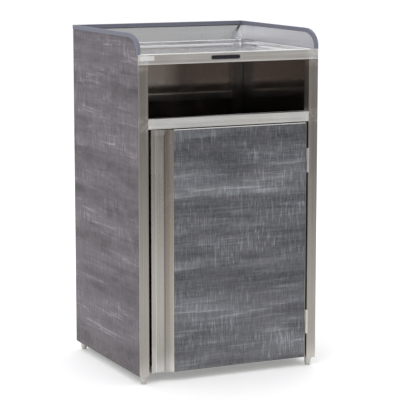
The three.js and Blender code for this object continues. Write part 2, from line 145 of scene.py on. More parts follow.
# ---- Shader benches ----
class Bench:
    """A shader node tree with short calls that add and wire its nodes."""

    def __init__(self, tree: bpy.types.NodeTree) -> None:
        """Takes over a node tree.

        Args:
            tree: the material's or group's tree.
        """
        self.tree = tree

    def add(self, kind: str, **settings: object) -> bpy.types.Node:
        """Adds a node.

        Args:
            kind: the node's type name.
            settings: properties to set on it.

        Returns:
            The new node.
        """
        node = self.tree.nodes.new(kind)
        for key, value in settings.items():
            setattr(node, key, value)
        return node

    def feed(self, socket: Socket, value: object) -> None:
        """Wires a socket into another, or sets a plain value on it.

        Args:
            socket: the input.
            value: a socket to wire in, or a plain value.
        """
        if isinstance(value, bpy.types.NodeSocket):
            self.tree.links.new(value, socket)
        else:
            socket.default_value = value

    def math(self, operation: str, a: object, b: object = 0.0, clamp: bool = False) -> Socket:
        """Adds a Math node and returns its result.

        Args:
            operation: the node's operation.
            a: the first value.
            b: the second value.
            clamp: whether the result is kept between 0 and 1.

        Returns:
            The result.
        """
        node = self.add("ShaderNodeMath", operation=operation, use_clamp=clamp)
        self.feed(node.inputs[0], a)
        self.feed(node.inputs[1], b)
        return node.outputs[0]

    def times(self, a: object, b: object) -> Socket:
        """Multiplies two values."""
        return self.math("MULTIPLY", a, b)

    def plus(self, first: object, *more: object) -> Socket:
        """Adds values up."""
        for value in more:
            first = self.math("ADD", first, value)
        return first

    def less(self, a: object, b: object, clamp: bool = False) -> Socket:
        """Takes the second value from the first."""
        return self.math("SUBTRACT", a, b, clamp)

    def apart(self, a: object, b: object) -> Socket:
        """Returns how far two values are from each other."""
        return self.math("ABSOLUTE", self.less(a, b))

    def split(self, vector: Socket) -> bpy.types.bpy_prop_collection:
        """Splits a vector into its X, Y and Z sockets."""
        node = self.add("ShaderNodeSeparateXYZ")
        self.feed(node.inputs[0], vector)
        return node.outputs

    def scaled(self, vector: Socket, by: object) -> Socket:
        """Returns a vector multiplied axis by axis.

        Args:
            vector: the vector.
            by: the three factors, as a socket or plain.

        Returns:
            The scaled vector.
        """
        node = self.add("ShaderNodeVectorMath", operation="MULTIPLY")
        self.feed(node.inputs[0], vector)
        self.feed(node.inputs[1], by)
        return node.outputs[0]

    def noise(self, vector: Socket, scale: float, detail: float = 2.0,
              roughness: float = 0.5, distortion: float = 0.0) -> Socket:
        """Adds a noise texture and returns its value.

        Args:
            vector: where it is looked up.
            scale: how fine it is.
            detail: how many finer levels it has.
            roughness: how strong those levels are.
            distortion: how much it is bent.

        Returns:
            Its value, from 0 to 1.
        """
        node = self.add("ShaderNodeTexNoise")
        self.feed(node.inputs["Vector"], vector)
        node.inputs["Scale"].default_value = scale
        node.inputs["Detail"].default_value = detail
        node.inputs["Roughness"].default_value = roughness
        node.inputs["Distortion"].default_value = distortion
        return node.outputs["Fac"]

    def remap(self, value: Socket, source: Point, target: Point = (0.0, 1.0)) -> Socket:
        """Maps a value from one range to another, smoothly and clamped.

        Args:
            value: the value.
            source: the range that it is mapped from.
            target: the range that it is mapped to.

        Returns:
            The mapped value.
        """
        node = self.add("ShaderNodeMapRange", interpolation_type="SMOOTHSTEP")
        self.feed(node.inputs["Value"], value)
        for name, number in zip(("From Min", "From Max", "To Min", "To Max"), (*source, *target)):
            node.inputs[name].default_value = number
        return node.outputs["Result"]

    def blend(self, factor: object, a: object, b: object, mode: str = "MIX") -> Socket:
        """Mixes two colours and returns the result.

        Args:
            factor: how much of the second colour shows.
            a: the first colour.
            b: the second colour.
            mode: how the two are mixed.

        Returns:
            The mixed colour.
        """
        node = self.add("ShaderNodeMix", data_type="RGBA", blend_type=mode)
        self.feed(node.inputs["Factor"], factor)
        self.feed(node.inputs["A"], a)
        self.feed(node.inputs["B"], b)
        return node.outputs["Result"]

    def bump(self, height: Socket, strength: float, distance: float) -> Socket:
        """Adds a Bump node and returns its normal.

        Args:
            height: the relief.
            strength: how strongly it shows.
            distance: its depth in metres.

        Returns:
            The bent normal.
        """
        node = self.add("ShaderNodeBump")
        self.feed(node.inputs["Height"], height)
        node.inputs["Strength"].default_value = strength
        node.inputs["Distance"].default_value = distance
        return node.outputs["Normal"]

    def place(self) -> Socket:
        """Returns the point's place in the row frame, in metres."""
        return self.add("ShaderNodeTexCoord").outputs["Object"]


def new_group(name: str, inputs: dict[str, str], outputs: dict[str, str]) -> tuple[
        bpy.types.NodeTree, Bench, bpy.types.Node, bpy.types.Node]:
    """Makes an empty shader node group.

    Args:
        name: the group's name.
        inputs: socket names and their short types.
        outputs: the same for the outputs.

    Returns:
        The group, a bench on it, and its input and output nodes.
    """
    group = bpy.data.node_groups.new(name, "ShaderNodeTree")
    kinds = {"value": "NodeSocketFloat", "colour": "NodeSocketColor", "vector": "NodeSocketVector"}
    for way, sockets in (("INPUT", inputs), ("OUTPUT", outputs)):
        for label, kind in sockets.items():
            group.interface.new_socket(name=label, in_out=way, socket_type=kinds[kind])
    bench = Bench(group)
    return group, bench, bench.add("NodeGroupInput"), bench.add("NodeGroupOutput")


def once(build: Callable[[], bpy.types.NodeTree]) -> Callable[[], bpy.types.NodeTree]:
    """Wraps a group builder so that the group is made on its first call only.

    Args:
        build: makes the group.

    Returns:
        A function that returns the one copy of the group.
    """
    made: list[bpy.types.NodeTree] = []

    def get() -> bpy.types.NodeTree:
        """Returns the one copy of the group."""
        if not made:
            made.append(build())
        return made[0]

    return get


@once
def brushed_grain() -> bpy.types.NodeTree:
    """The streaks of a belt-brushed sheet, and the slow drift of its tone.

    Returns:
        The group.
    """
    group, bench, given, out = new_group(
        "brushed_grain", {"Place": "vector", "Stretch": "vector"},
        {"Streaks": "value", "Drift": "value", "Height": "value"})
    stretched = bench.scaled(given.outputs["Place"], given.outputs["Stretch"])
    fine = bench.noise(stretched, 1.0, 3.0, 0.6)
    broad = bench.noise(stretched, 0.16, 2.0, 0.5)
    streaks = bench.plus(bench.times(fine, 0.6), bench.times(broad, 0.4))
    bench.feed(out.inputs["Streaks"], bench.remap(streaks, (0.36, 0.64)))
    bench.feed(out.inputs["Drift"], bench.noise(given.outputs["Place"], 5.0, 2.0, 0.5, 0.4))
    bench.feed(out.inputs["Height"], fine)
    return group


@once
def handling_marks() -> bpy.types.NodeTree:
    """Wiped smears and short hairline scratches left by daily use.

    Returns:
        The group.
    """
    group, bench, given, out = new_group(
        "handling_marks", {"Place": "vector"}, {"Smears": "value", "Scratches": "value"})
    place = given.outputs["Place"]
    smears = bench.noise(bench.scaled(place, (1.0, 1.0, 0.6)), 9.0, 4.0, 0.62, 1.4)
    bench.feed(out.inputs["Smears"], bench.remap(smears, (0.48, 0.68)))
    lines = bench.noise(bench.scaled(place, (30.0, 30.0, 420.0)), 1.0, 1.0, 0.4, 0.3)
    sparse = bench.noise(place, 14.0, 2.0)
    scratches = bench.times(bench.remap(lines, (0.70, 0.76)), bench.remap(sparse, (0.55, 0.65)))
    bench.feed(out.inputs["Scratches"], scratches)
    return group


@once
def floor_dust() -> bpy.types.NodeTree:
    """Dust and mop splashes that thin out with height above the floor.

    Returns:
        The group.
    """
    group, bench, given, out = new_group(
        "floor_dust", {"Place": "vector", "Reach": "value"}, {"Mask": "value"})
    place = given.outputs["Place"]
    height = bench.math("DIVIDE", bench.split(place)["Z"], given.outputs["Reach"])
    low = bench.less(1.0, height, clamp=True)
    speckle = bench.remap(bench.noise(place, 60.0, 4.0, 0.7), (0.35, 0.7))
    bench.feed(out.inputs["Mask"], bench.times(bench.math("POWER", low, 2.0), speckle))
    return group


@once
def laminate_print() -> bpy.types.NodeTree:
    """The printed pattern of the boards: weathered bands crossed by combed vertical threads.

    Returns:
        The group.
    """
    group, bench, given, out = new_group(
        "laminate_print", {"Flat": "vector"},
        {"Tone": "value", "Tint": "value", "Height": "value"})
    flat = given.outputs["Flat"]

    def layer(along: float, up: float, detail: float, edge: Point, shift: float,
              bend: float = 0.0) -> Socket:
        """One stretched noise layer, cut to a mask.

        Args:
            along: its scale along the board.
            up: its scale up the board.
            detail: how many finer levels its noise has.
            edge: the noise levels where the mask starts and is full.
            shift: how far it is moved from the other layers.
            bend: how much its noise is bent.

        Returns:
            The mask.
        """
        moved = bench.add("ShaderNodeVectorMath", operation="ADD")
        bench.feed(moved.inputs[0], bench.scaled(flat, (along, up, 1.0)))
        moved.inputs[1].default_value = (shift, shift * 1.7, shift * 0.6)
        return bench.remap(bench.noise(moved.outputs[0], 1.0, detail, 0.6, bend), edge)

    bands = layer(0.9, 7.5, 3.0, (0.42, 0.58), 3.1, 0.25)
    clouds = layer(2.6, 22.0, 4.0, (0.42, 0.62), 7.3, 0.3)
    streaks = layer(7.0, 150.0, 3.0, (0.33, 0.72), 23.0)
    hairs = layer(40.0, 420.0, 2.0, (0.30, 0.72), 37.0)
    bright = layer(5.0, 75.0, 3.0, (0.55, 0.70), 31.0)
    patches = layer(3.6, 12.0, 3.0, (0.44, 0.60), 11.7, 0.4)
    comb = layer(210.0, 20.0, 3.0, (0.48, 0.68), 41.0)
    threads = layer(420.0, 34.0, 2.0, (0.36, 0.70), 53.0)
    worn = bench.plus(bench.times(bands, 0.62), bench.times(clouds, 0.38))
    mixed = bench.plus(bench.times(patches, 0.55), bench.times(worn, 0.45))
    tone = bench.plus(
        bench.times(worn, 0.30), bench.times(streaks, 0.10), bench.times(hairs, 0.12),
        bench.times(threads, 0.15), bench.times(bench.times(bright, worn), 0.44))
    combed = bench.times(bench.times(comb, mixed), 0.50)
    bench.feed(out.inputs["Tone"], bench.math("ADD", tone, combed, clamp=True))
    bench.feed(out.inputs["Tint"], layer(9.0, 22.0, 2.0, (0.35, 0.65), 71.0))
    relief = bench.times(bench.plus(hairs, threads, comb), 0.5)
    bench.feed(out.inputs["Height"], relief)
    return group


@once
def ground_weld() -> bpy.types.NodeTree:
    """The mottled patch where a welded corner was ground and blended.

    Returns:
        The group.
    """
    group, bench, given, out = new_group(
        "ground_weld",
        {"Place": "vector", "Measure": "value", "Level": "value", "Reach": "value"},
        {"Mask": "value"})
    away = bench.apart(given.outputs["Measure"], given.outputs["Level"])
    near = bench.less(1.0, bench.math("DIVIDE", away, given.outputs["Reach"]), clamp=True)
    mottle = bench.remap(bench.noise(given.outputs["Place"], 95.0, 3.0, 0.65), (0.35, 0.62))
    bench.feed(out.inputs["Mask"], bench.times(bench.remap(near, (0.0, 0.5)), mottle))
    return group


# ---- Finishes ----
def opaque(colour: Triple, gain: float = 1.0, lift: float = 0.0) -> Rgba:
    """A colour made paler or darker, with full alpha."""
    return (*(min(1.0, c * gain + lift) for c in colour), 1.0)


@dataclass(frozen=True)
class Finish:
    """A surface finish. Each kind of finish fills in its own shader."""

    name: str
    slot: Slot

    def material(self) -> bpy.types.Material:
        """Finds the finish's material, and makes it on its first use.

        Returns:
            The material.
        """
        known = bpy.data.materials.get(self.name)
        if known:
            return known
        material = bpy.data.materials.new(self.name)
        material.use_nodes = True
        self.dress(Bench(material.node_tree), material.node_tree.nodes["Principled BSDF"])
        return material

    def dress(self, bench: Bench, shader: bpy.types.Node) -> None:
        """Wires the finish's nodes into the shader.

        Args:
            bench: the bench on the material's tree.
            shader: its Principled shader.
        """
        raise NotImplementedError

    def use(self, bench: Bench, group: bpy.types.NodeTree, **inputs: object) -> bpy.types.Node:
        """Adds a node group to the material and feeds its inputs.

        Args:
            bench: the bench on the material's tree.
            group: the group.
            inputs: a value or a socket for each of its inputs, by name.

        Returns:
            The new group node.
        """
        node = bench.add("ShaderNodeGroup", node_tree=group)
        for label, value in inputs.items():
            bench.feed(node.inputs[label], value)
        return node


GRAIN_LENGTH = 160.0  # how many times longer than wide a brushed streak is
WARM_CAST = (1.0, 0.965, 0.915)
# Colours of the painted highlights and painted shade along folds.
PAINTED_HIGHLIGHT_LINE = (1.0, 1.0, 0.98, 1.0)
PAINTED_SHADE_LINE = (0.10, 0.095, 0.09, 1.0)


@dataclass(frozen=True)
class Brushed(Finish):
    """Brushed stainless sheet.

    Each weld is an axis, the place along it where a corner was ground, and how far that reaches.
    Each crease line is a place along X, half its width, and the strength of the highlight painted
    along that fold or, below zero, of the shade painted there.
    """

    tint: Triple = (0.62, 0.61, 0.585)
    grain: Axis = Axis.Z
    roughness: float = 0.34
    anisotropy: float = 0.75
    across: float = 620.0
    pressed: bool = False
    dusty: bool = True
    contrast: float = 0.16
    relief: float = 0.10
    welds: tuple[tuple[Axis, float, float], ...] = ()
    creases: tuple[tuple[float, float, float], ...] = ()

    def dress(self, bench: Bench, shader: bpy.types.Node) -> None:
        """Wires streaks, smears and dust into a metal shader.

        Args:
            bench: the bench on the material's tree.
            shader: its Principled shader.
        """
        place = bench.place()
        sides = bench.split(place)
        stretch = [self.across] * 3
        stretch[self.grain.value] = self.across / GRAIN_LENGTH
        if self.pressed:
            stretch[Axis.Z.value] = self.across / GRAIN_LENGTH
        grain = self.use(bench, brushed_grain(), Place=place, Stretch=tuple(stretch))
        marks = self.use(bench, handling_marks(), Place=place)
        ground = self.ground(bench, place, sides)
        colour = self.sheen(bench, place, grain)
        if self.welds:
            colour = bench.blend(bench.times(ground, 0.65), colour, opaque(self.tint, 1.4))
        bench.feed(shader.inputs["Base Color"], self.creased(bench, sides, colour))
        shader.inputs["Metallic"].default_value = 1.0
        rough = bench.plus(
            self.roughness - 0.05, bench.times(grain.outputs["Streaks"], self.contrast * 0.6),
            bench.times(ground, 0.12), bench.times(marks.outputs["Smears"], 0.07),
            bench.times(marks.outputs["Scratches"], 0.12))
        bench.feed(shader.inputs["Roughness"], rough)
        shader.inputs["Anisotropic"].default_value = self.anisotropy
        shader.inputs["Anisotropic Rotation"].default_value = 0.0 if self.grain is Axis.Z else 0.25
        if self.anisotropy:
            tangent = bench.add("ShaderNodeTangent", direction_type="RADIAL", axis="Z")
            bench.feed(shader.inputs["Tangent"], tangent.outputs[0])
        bench.feed(shader.inputs["Normal"], bench.bump(grain.outputs["Height"], self.relief, 0.0002))

    def sheen(self, bench: Bench, place: Socket, grain: bpy.types.Node) -> Socket:
        """Colours the sheet: streaks, a slow warm drift, and dust near the floor.

        Args:
            bench: the bench on the material's tree.
            place: the point's place.
            grain: the node of the brushed grain.

        Returns:
            The colour.
        """
        dark = opaque(self.tint, 1.0 - self.contrast)
        light = opaque(self.tint, 1.0 + self.contrast * 0.6)
        colour = bench.blend(grain.outputs["Streaks"], dark, light)
        drift = bench.remap(grain.outputs["Drift"], (0.3, 0.7), (0.0, 0.3))
        warm = tuple(c * k for c, k in zip(self.tint, WARM_CAST))
        colour = bench.blend(drift, colour, opaque(warm))
        if self.dusty:
            dust = self.use(bench, floor_dust(), Place=place, Reach=0.35)
            haze = bench.times(dust.outputs["Mask"], 0.35)
            colour = bench.blend(haze, colour, (0.55, 0.53, 0.50, 1.0))
        return colour

    def ground(self, bench: Bench, place: Socket, sides: bpy.types.bpy_prop_collection) -> object:
        """Masks the welded corners that were ground; zero where there are none.

        Args:
            bench: the bench on the material's tree.
            place: the point's place.
            sides: the place's three sockets.

        Returns:
            The mask, as a socket or a plain zero.
        """
        mask: object = 0.0
        for axis, level, reach in self.welds:
            measure = sides[axis.value]
            if axis is Axis.X:
                measure = bench.math("ABSOLUTE", measure)
            weld = self.use(bench, ground_weld(), Place=place, Measure=measure, Level=level,
                            Reach=reach)
            mask = bench.math("MAXIMUM", mask, weld.outputs["Mask"])
        return mask

    def creased(self, bench: Bench, sides: bpy.types.bpy_prop_collection,
                colour: Socket) -> Socket:
        """Paints highlights and shade along the sheet's folds into its colour.

        Args:
            bench: the bench on the material's tree.
            sides: the place's three sockets.
            colour: the sheet's colour.

        Returns:
            The colour with its painted highlights and shade.
        """
        for level, reach, gain in self.creases:
            near = bench.remap(bench.apart(sides["X"], level), (reach, 0.0), (0.0, abs(gain)))
            colour = bench.blend(near, colour, PAINTED_HIGHLIGHT_LINE if gain > 0 else PAINTED_SHADE_LINE)
        return colour


@dataclass(frozen=True)
class Laminate(Finish):
    """Decorative laminate, printed along one horizontal axis."""

    along: Axis = Axis.X
    dark: Triple = (0.022, 0.026, 0.033)
    light: Triple = (0.350, 0.366, 0.396)
    warm: Triple = (0.120, 0.105, 0.112)
    depth: float = 1.1
    shift: float = 0.0

    def dress(self, bench: Bench, shader: bpy.types.Node) -> None:
        """Wires the printed pattern, its sheen and its light texture.

        Args:
            bench: the bench on the material's tree.
            shader: its Principled shader.
        """
        place = bench.place()
        sides = bench.split(place)
        flat = bench.add("ShaderNodeCombineXYZ")
        bench.feed(flat.inputs[0], sides[self.along.value])
        bench.feed(flat.inputs[1], sides["Z"])
        flat.inputs[2].default_value = self.shift
        pattern = self.use(bench, laminate_print(), Flat=flat.outputs[0])
        marks = self.use(bench, handling_marks(), Place=place)
        dust = self.use(bench, floor_dust(), Place=place, Reach=0.25)
        tone = bench.math("POWER", pattern.outputs["Tone"], self.depth)
        colour = bench.blend(tone, opaque(self.dark), opaque(self.light))
        tint = bench.times(pattern.outputs["Tint"], 0.30)
        colour = bench.blend(tint, colour, opaque(self.warm))
        scuffed = bench.times(marks.outputs["Scratches"], 0.20)
        colour = bench.blend(scuffed, colour, (0.32, 0.32, 0.33, 1.0))
        dusty = bench.times(dust.outputs["Mask"], 0.22)
        colour = bench.blend(dusty, colour, (0.36, 0.34, 0.32, 1.0))
        bench.feed(shader.inputs["Base Color"], colour)
        shader.inputs["Specular IOR Level"].default_value = 0.36
        rough = bench.plus(0.46, bench.times(pattern.outputs["Tone"], 0.12),
                           bench.times(marks.outputs["Smears"], -0.06))
        bench.feed(shader.inputs["Roughness"], rough)
        bench.feed(shader.inputs["Normal"], bench.bump(pattern.outputs["Height"], 0.22, 0.0004))


@dataclass(frozen=True)
class Moulded(Finish):
    """Moulded plastic or rubber with a fine cast texture."""

    colour: Triple = (0.1, 0.1, 0.1)
    roughness: float = 0.45
    pebble: float = 900.0
    relief: float = 0.12
    mottle: float = 0.10
    coat: float = 0.0

    def dress(self, bench: Bench, shader: bpy.types.Node) -> None:
        """Wires the cast texture, slight fading and smears.

        Args:
            bench: the bench on the material's tree.
            shader: its Principled shader.
        """
        place = bench.place()
        marks = self.use(bench, handling_marks(), Place=place)
        cloud = bench.remap(bench.noise(place, 22.0, 3.0, 0.6), (0.3, 0.7))
        deep = opaque(self.colour, 1.0 - self.mottle)
        pale = opaque(self.colour, 1.0 + self.mottle, 0.012)
        worn = bench.times(marks.outputs["Scratches"], 0.35)
        colour = bench.blend(worn, bench.blend(cloud, deep, pale), opaque(self.colour, 1.5, 0.03))
        bench.feed(shader.inputs["Base Color"], colour)
        rough = bench.plus(self.roughness, bench.times(marks.outputs["Smears"], 0.10))
        bench.feed(shader.inputs["Roughness"], rough)
        shader.inputs["Coat Weight"].default_value = self.coat
        shader.inputs["Coat Roughness"].default_value = 0.15
        pebble = bench.noise(place, self.pebble, 2.0)
        bench.feed(shader.inputs["Normal"], bench.bump(pebble, self.relief, 0.0003))


POST_STEEL = Brushed("post_steel", Slot.STAINLESS, grain=Axis.Z, roughness=0.34,
                     tint=(0.545, 0.525, 0.495),
                     welds=((Axis.Z, 0.886, 0.035), (Axis.Z, 1.083, 0.03)))
# The header's and the apron's steel is painted lighter than the posts', painted light for the
# overhead light that their level grain catches.
HEADER_STEEL = Brushed("header_steel", Slot.STAINLESS, grain=Axis.X, tint=(0.97, 0.975, 0.945),
                       roughness=0.36, anisotropy=0.85, welds=((Axis.X, 0.3012, 0.028),))
APRON_STEEL = Brushed("apron_steel", Slot.STAINLESS, grain=Axis.X, tint=(0.80, 0.795, 0.775),
                      dusty=False, welds=((Axis.X, 0.3365, 0.05),))
DOOR_STEEL = Brushed("door_steel", Slot.STAINLESS, grain=Axis.Z, roughness=0.30,
                     tint=(0.56, 0.54, 0.51))
# The pull's crease lines paint highlights along three folds, and paint shade at the foot of its
# sloping wall and across that wall.
PULL_STEEL = Brushed("pull_steel", Slot.STAINLESS, grain=Axis.Z, roughness=0.26,
                     tint=(0.60, 0.585, 0.56), contrast=0.09, anisotropy=0.45,
                     creases=((-0.2670, 0.0026, 0.60), (-0.2350, 0.0045, -0.55),
                              (-0.2280, 0.0130, -0.30), (-0.2095, 0.0026, 0.50),
                              (-0.2855, 0.0015, 0.50)))
# The hem's steel is painted lighter than the door's, a painted highlight along the door's top edge.
HEM_STEEL = Brushed("hem_steel", Slot.STAINLESS, grain=Axis.X, roughness=0.22,
                    tint=(0.80, 0.80, 0.79), anisotropy=0.0, dusty=False, contrast=0.1)
TRAY_STEEL = Brushed("tray_steel", Slot.STAINLESS, grain=Axis.X, roughness=0.16, pressed=True,
                     tint=(0.78, 0.785, 0.80), anisotropy=0.0, dusty=False, contrast=0.05,
                     relief=0.01, across=240.0)
SPLASH_STEEL = Brushed("splash_steel", Slot.LINING, grain=Axis.X, roughness=0.26, dusty=False,
                       tint=(0.44, 0.445, 0.445), contrast=0.05, relief=0.05)
GALLERY_STEEL = Brushed("gallery_steel", Slot.LINING, grain=Axis.Y, roughness=0.36, dusty=False,
                        tint=(0.56, 0.56, 0.60), contrast=0.06, anisotropy=0.0, relief=0.05)
# The back lining is painted lighter and warm, painted light for the light that comes in through the
# slot; the side linings are a darker copy, painted shade.
BACK_LINING = Brushed("back_lining", Slot.STAINLESS, grain=Axis.Z, roughness=0.17, dusty=False,
                      tint=(0.60, 0.545, 0.51), contrast=0.04, anisotropy=0.9, relief=0.0)
SIDE_LINING = Brushed("side_lining", Slot.STAINLESS, grain=Axis.Z, roughness=0.19, dusty=False,
                      tint=(0.42, 0.40, 0.39), contrast=0.04, anisotropy=0.9, relief=0.0)
# The frame's hidden members, rails, floor pan and bin guide get darker copies of the stainless,
# painted shade for the dark inside of the cabinet.
FRAME_STEEL = Brushed("frame_steel", Slot.FRAME, grain=Axis.Z, roughness=0.22, dusty=False,
                      tint=(0.32, 0.322, 0.31), contrast=0.06)
FRAME_RAIL = Brushed("frame_rail", Slot.FRAME, grain=Axis.X, roughness=0.22, dusty=False,
                     tint=(0.36, 0.365, 0.35), contrast=0.08, anisotropy=0.0, relief=0.02,
                     across=240.0)
HARDWARE_STEEL = Brushed("hardware_steel", Slot.HARDWARE, grain=Axis.Z, roughness=0.28,
                         tint=(0.88, 0.88, 0.86), anisotropy=0.0, across=900.0, dusty=False)
FOOT_STEEL = Brushed("foot_steel", Slot.FOOT, grain=Axis.Z, roughness=0.36,
                     tint=(0.56, 0.55, 0.52), anisotropy=0.0, across=900.0)
FRONT_LAMINATE = Laminate("front_laminate", Slot.LAMINATE, along=Axis.X, shift=0.0)
# The side boards get a darker, pinker copy of the front laminate: painted shade, with the tint of
# the light on the sides painted in.
SIDE_LAMINATE = Laminate("side_laminate", Slot.LAMINATE, along=Axis.Y, shift=4.0,
                         dark=(0.018, 0.013, 0.019), light=(0.315, 0.280, 0.318), depth=1.5,
                         warm=(0.150, 0.122, 0.134))
BACK_LAMINATE = Laminate("back_laminate", Slot.LAMINATE, along=Axis.X, shift=9.0)
SLATE_TRIM = Moulded("slate_trim", Slot.TRIM, colour=(0.086, 0.081, 0.087), roughness=0.30,
                     coat=0.12)
BOARD_CORE = Moulded("board_core", Slot.LAMINATE, colour=(0.055, 0.050, 0.052), roughness=0.7,
                     pebble=700.0, relief=0.2)
PLATE_BLACK = Moulded("plate_black", Slot.PLATE, colour=(0.010, 0.012, 0.020), roughness=0.22,
                      relief=0.03, coat=0.4)
CATCH_BLACK = Moulded("catch_black", Slot.CATCH, colour=(0.022, 0.022, 0.024), roughness=0.5)
LABEL_FILM = Moulded("label_film", Slot.LABEL, colour=(0.60, 0.60, 0.59), roughness=0.35,
                     relief=0.02, mottle=0.03)
BIN_GREY = Moulded("bin_grey", Slot.BIN, colour=(0.060, 0.066, 0.072), roughness=0.55,
                   pebble=500.0, relief=0.25)


# ---- Outlines ----
def rounded(points: Sequence[Point], radius: float | Sequence[float], steps: int = 5,
            closed: bool = True) -> Loop:
    """Rounds the corners of an outline.

    Args:
        points: the outline's corners.
        radius: the radius of every corner, or one radius for each.
        steps: points along each arc.
        closed: whether the outline joins up; an open one keeps its two ends.

    Returns:
        The rounded outline.
    """
    count = len(points)
    radii = [radius] * count if isinstance(radius, float) else list(radius)
    result: Loop = []
    for i, here in enumerate(points):
        corner = Vector(here)
        before = (Vector(points[i - 1]) - corner).normalized()
        after = (Vector(points[(i + 1) % count]) - corner).normalized()
        half = math.acos(max(-1.0, min(1.0, before.dot(after)))) / 2
        at_end = not closed and i in (0, count - 1)
        if at_end or radii[i] <= 0 or half > math.radians(89.0):
            result.append(tuple(here))
            continue
        reach = radii[i] / math.tan(half)
        centre = corner + (before + after).normalized() * (radii[i] / math.sin(half))
        first, last = (corner + way * reach - centre for way in (before, after))
        start = math.atan2(first.y, first.x)
        sweep = (math.atan2(last.y, last.x) - start + math.pi) % (2 * math.pi) - math.pi
        for k in range(steps + 1):
            angle = start + sweep * k / steps
            result.append((centre.x + radii[i] * math.cos(angle),
                           centre.y + radii[i] * math.sin(angle)))
    return result


def offset(points: Sequence[Point], distance: float, closed: bool = True) -> Loop:
    """Moves an outline sideways, to the left of its direction.

    Args:
        points: the outline.
        distance: how far, in metres; negative moves it to the right.
        closed: whether it joins up.

    Returns:
        The moved outline, point for point.
    """
    count = len(points)
    moved: Loop = []
    for i, here in enumerate(points):
        sides = []
        if closed or i > 0:
            sides.append(Vector(here) - Vector(points[i - 1]))
        if closed or i < count - 1:
            sides.append(Vector(points[(i + 1) % count]) - Vector(here))
        normals = [Vector((-s.y, s.x)).normalized() for s in sides if s.length > 1e-9]
        total = sum(normals, Vector((0.0, 0.0))).normalized()
        stretch = 1.0 / max(0.35, total.dot(normals[0]))
        moved.append(tuple(Vector(here) + total * distance * stretch))
    return moved


def bent_sheet(path: Sequence[Point], thickness: float, bend: float, steps: int = 5) -> Loop:
    """The section of a folded sheet.

    Args:
        path: the corners of one face of the sheet, walked so that its metal is on the left.
        thickness: the sheet's thickness.
        bend: the radius of the path's corners.
        steps: points along each bend.

    Returns:
        A closed outline.
    """
    face = rounded(path, bend, steps, closed=False)
    return face + offset(face, thickness, closed=False)[::-1]


def area(points: Sequence[Point]) -> float:
    """The signed area of a closed outline, positive when it runs anticlockwise."""
    return sum(a[0] * b[1] - b[0] * a[1] for a, b in zip(points, [*points[1:], points[0]])) / 2


def rounded_rectangle(centre: Point, half: Point, radius: float, steps: int = 6) -> Loop:
    """A rectangle with round corners, anticlockwise."""
    (cx, cy), (hx, hy) = centre, half
    corners = [(cx - hx, cy - hy), (cx + hx, cy - hy), (cx + hx, cy + hy), (cx - hx, cy + hy)]
    return rounded(corners, radius, steps)


# ---- Mesh making ----
def skin(mesh: bmesh.types.BMesh, low: Ring, high: Ring) -> None:
    """Joins two closed rings of vertices with quads."""
    for i in range(len(low)):
        j = (i + 1) % len(low)
        mesh.faces.new((low[i], low[j], high[j], high[i]))


def loft(mesh: bmesh.types.BMesh, rings: Sequence[Sequence[Triple]],
         close: bool = True) -> list[Ring]:
    """Skins a stack of closed rings with quads.

    Args:
        mesh: the mesh to add to.
        rings: rings with the same number of points each.
        close: whether to cap the first and last ring.

    Returns:
        The vertices of each ring.
    """
    rows = [[mesh.verts.new(p) for p in ring] for ring in rings]
    for low, high in zip(rows, rows[1:]):
        skin(mesh, low, high)
    if close:
        mesh.faces.new(rows[0][::-1])
        mesh.faces.new(rows[-1])
    return rows


def placed(points: Sequence[Point], plane: Plane, height: float) -> list[Triple]:
    """Places an outline in the row frame.

    Args:
        points: the outline, in the plane's two axes.
        plane: the plane that it is drawn in.
        height: its place along the third axis.

    Returns:
        The outline's points in three dimensions.
    """
    first, second, third = plane.value
    result = []
    for u, v in points:
        spot = [0.0, 0.0, 0.0]
        spot[first] = u
        spot[second] = v
        spot[third] = height
        result.append(tuple(spot))
    return result


def plate(mesh: bmesh.types.BMesh, outline: Sequence[Point], plane: Plane, reach: Point,
          holes: Sequence[Sequence[Point]] = (), chamfer: float = 0.3 * MM) -> None:
    """Extrudes an outline, with a small chamfer round both of its ends.

    Args:
        mesh: the mesh to add to.
        outline: the closed outline, in the plane's two axes.
        plane: the plane that it is drawn in.
        reach: where it starts and ends along the third axis.
        holes: outlines of holes that go right through.
        chamfer: the size of the end chamfers.
    """
    low, high = min(reach), max(reach)
    ends: tuple[list[Ring], list[Ring]] = ([], [])
    for loop, way in [(outline, 1.0), *((hole, -1.0) for hole in holes)]:
        anticlockwise = list(loop) if area(loop) > 0 else list(loop)[::-1]
        inset = offset(anticlockwise, chamfer * way)
        rows = loft(mesh, [
            placed(inset, plane, low), placed(anticlockwise, plane, low + chamfer),
            placed(anticlockwise, plane, high - chamfer), placed(inset, plane, high)], close=False)
        ends[0].append(rows[0])
        ends[1].append(rows[-1])
    for rows in ends:
        if not holes:
            mesh.faces.new(rows[0])
            continue
        edges = [mesh.edges.get((row[i - 1], row[i])) for row in rows for i in range(len(row))]
        bmesh.ops.triangle_fill(mesh, use_beauty=True, edges=edges)


def sweep(mesh: bmesh.types.BMesh, path: Sequence[tuple[Point, Point]],
          section: Sequence[Point]) -> None:
    """Sweeps a section along a path in the YZ plane.

    Args:
        mesh: the mesh to add to.
        path: points of the path, each with its outward direction.
        section: (x, height) points of the section; height is measured along that direction.
    """
    rings = []
    for (y, z), (ny, nz) in path:
        rings.append([(x, y + ny * h, z + nz * h) for x, h in section])
    loft(mesh, rings)


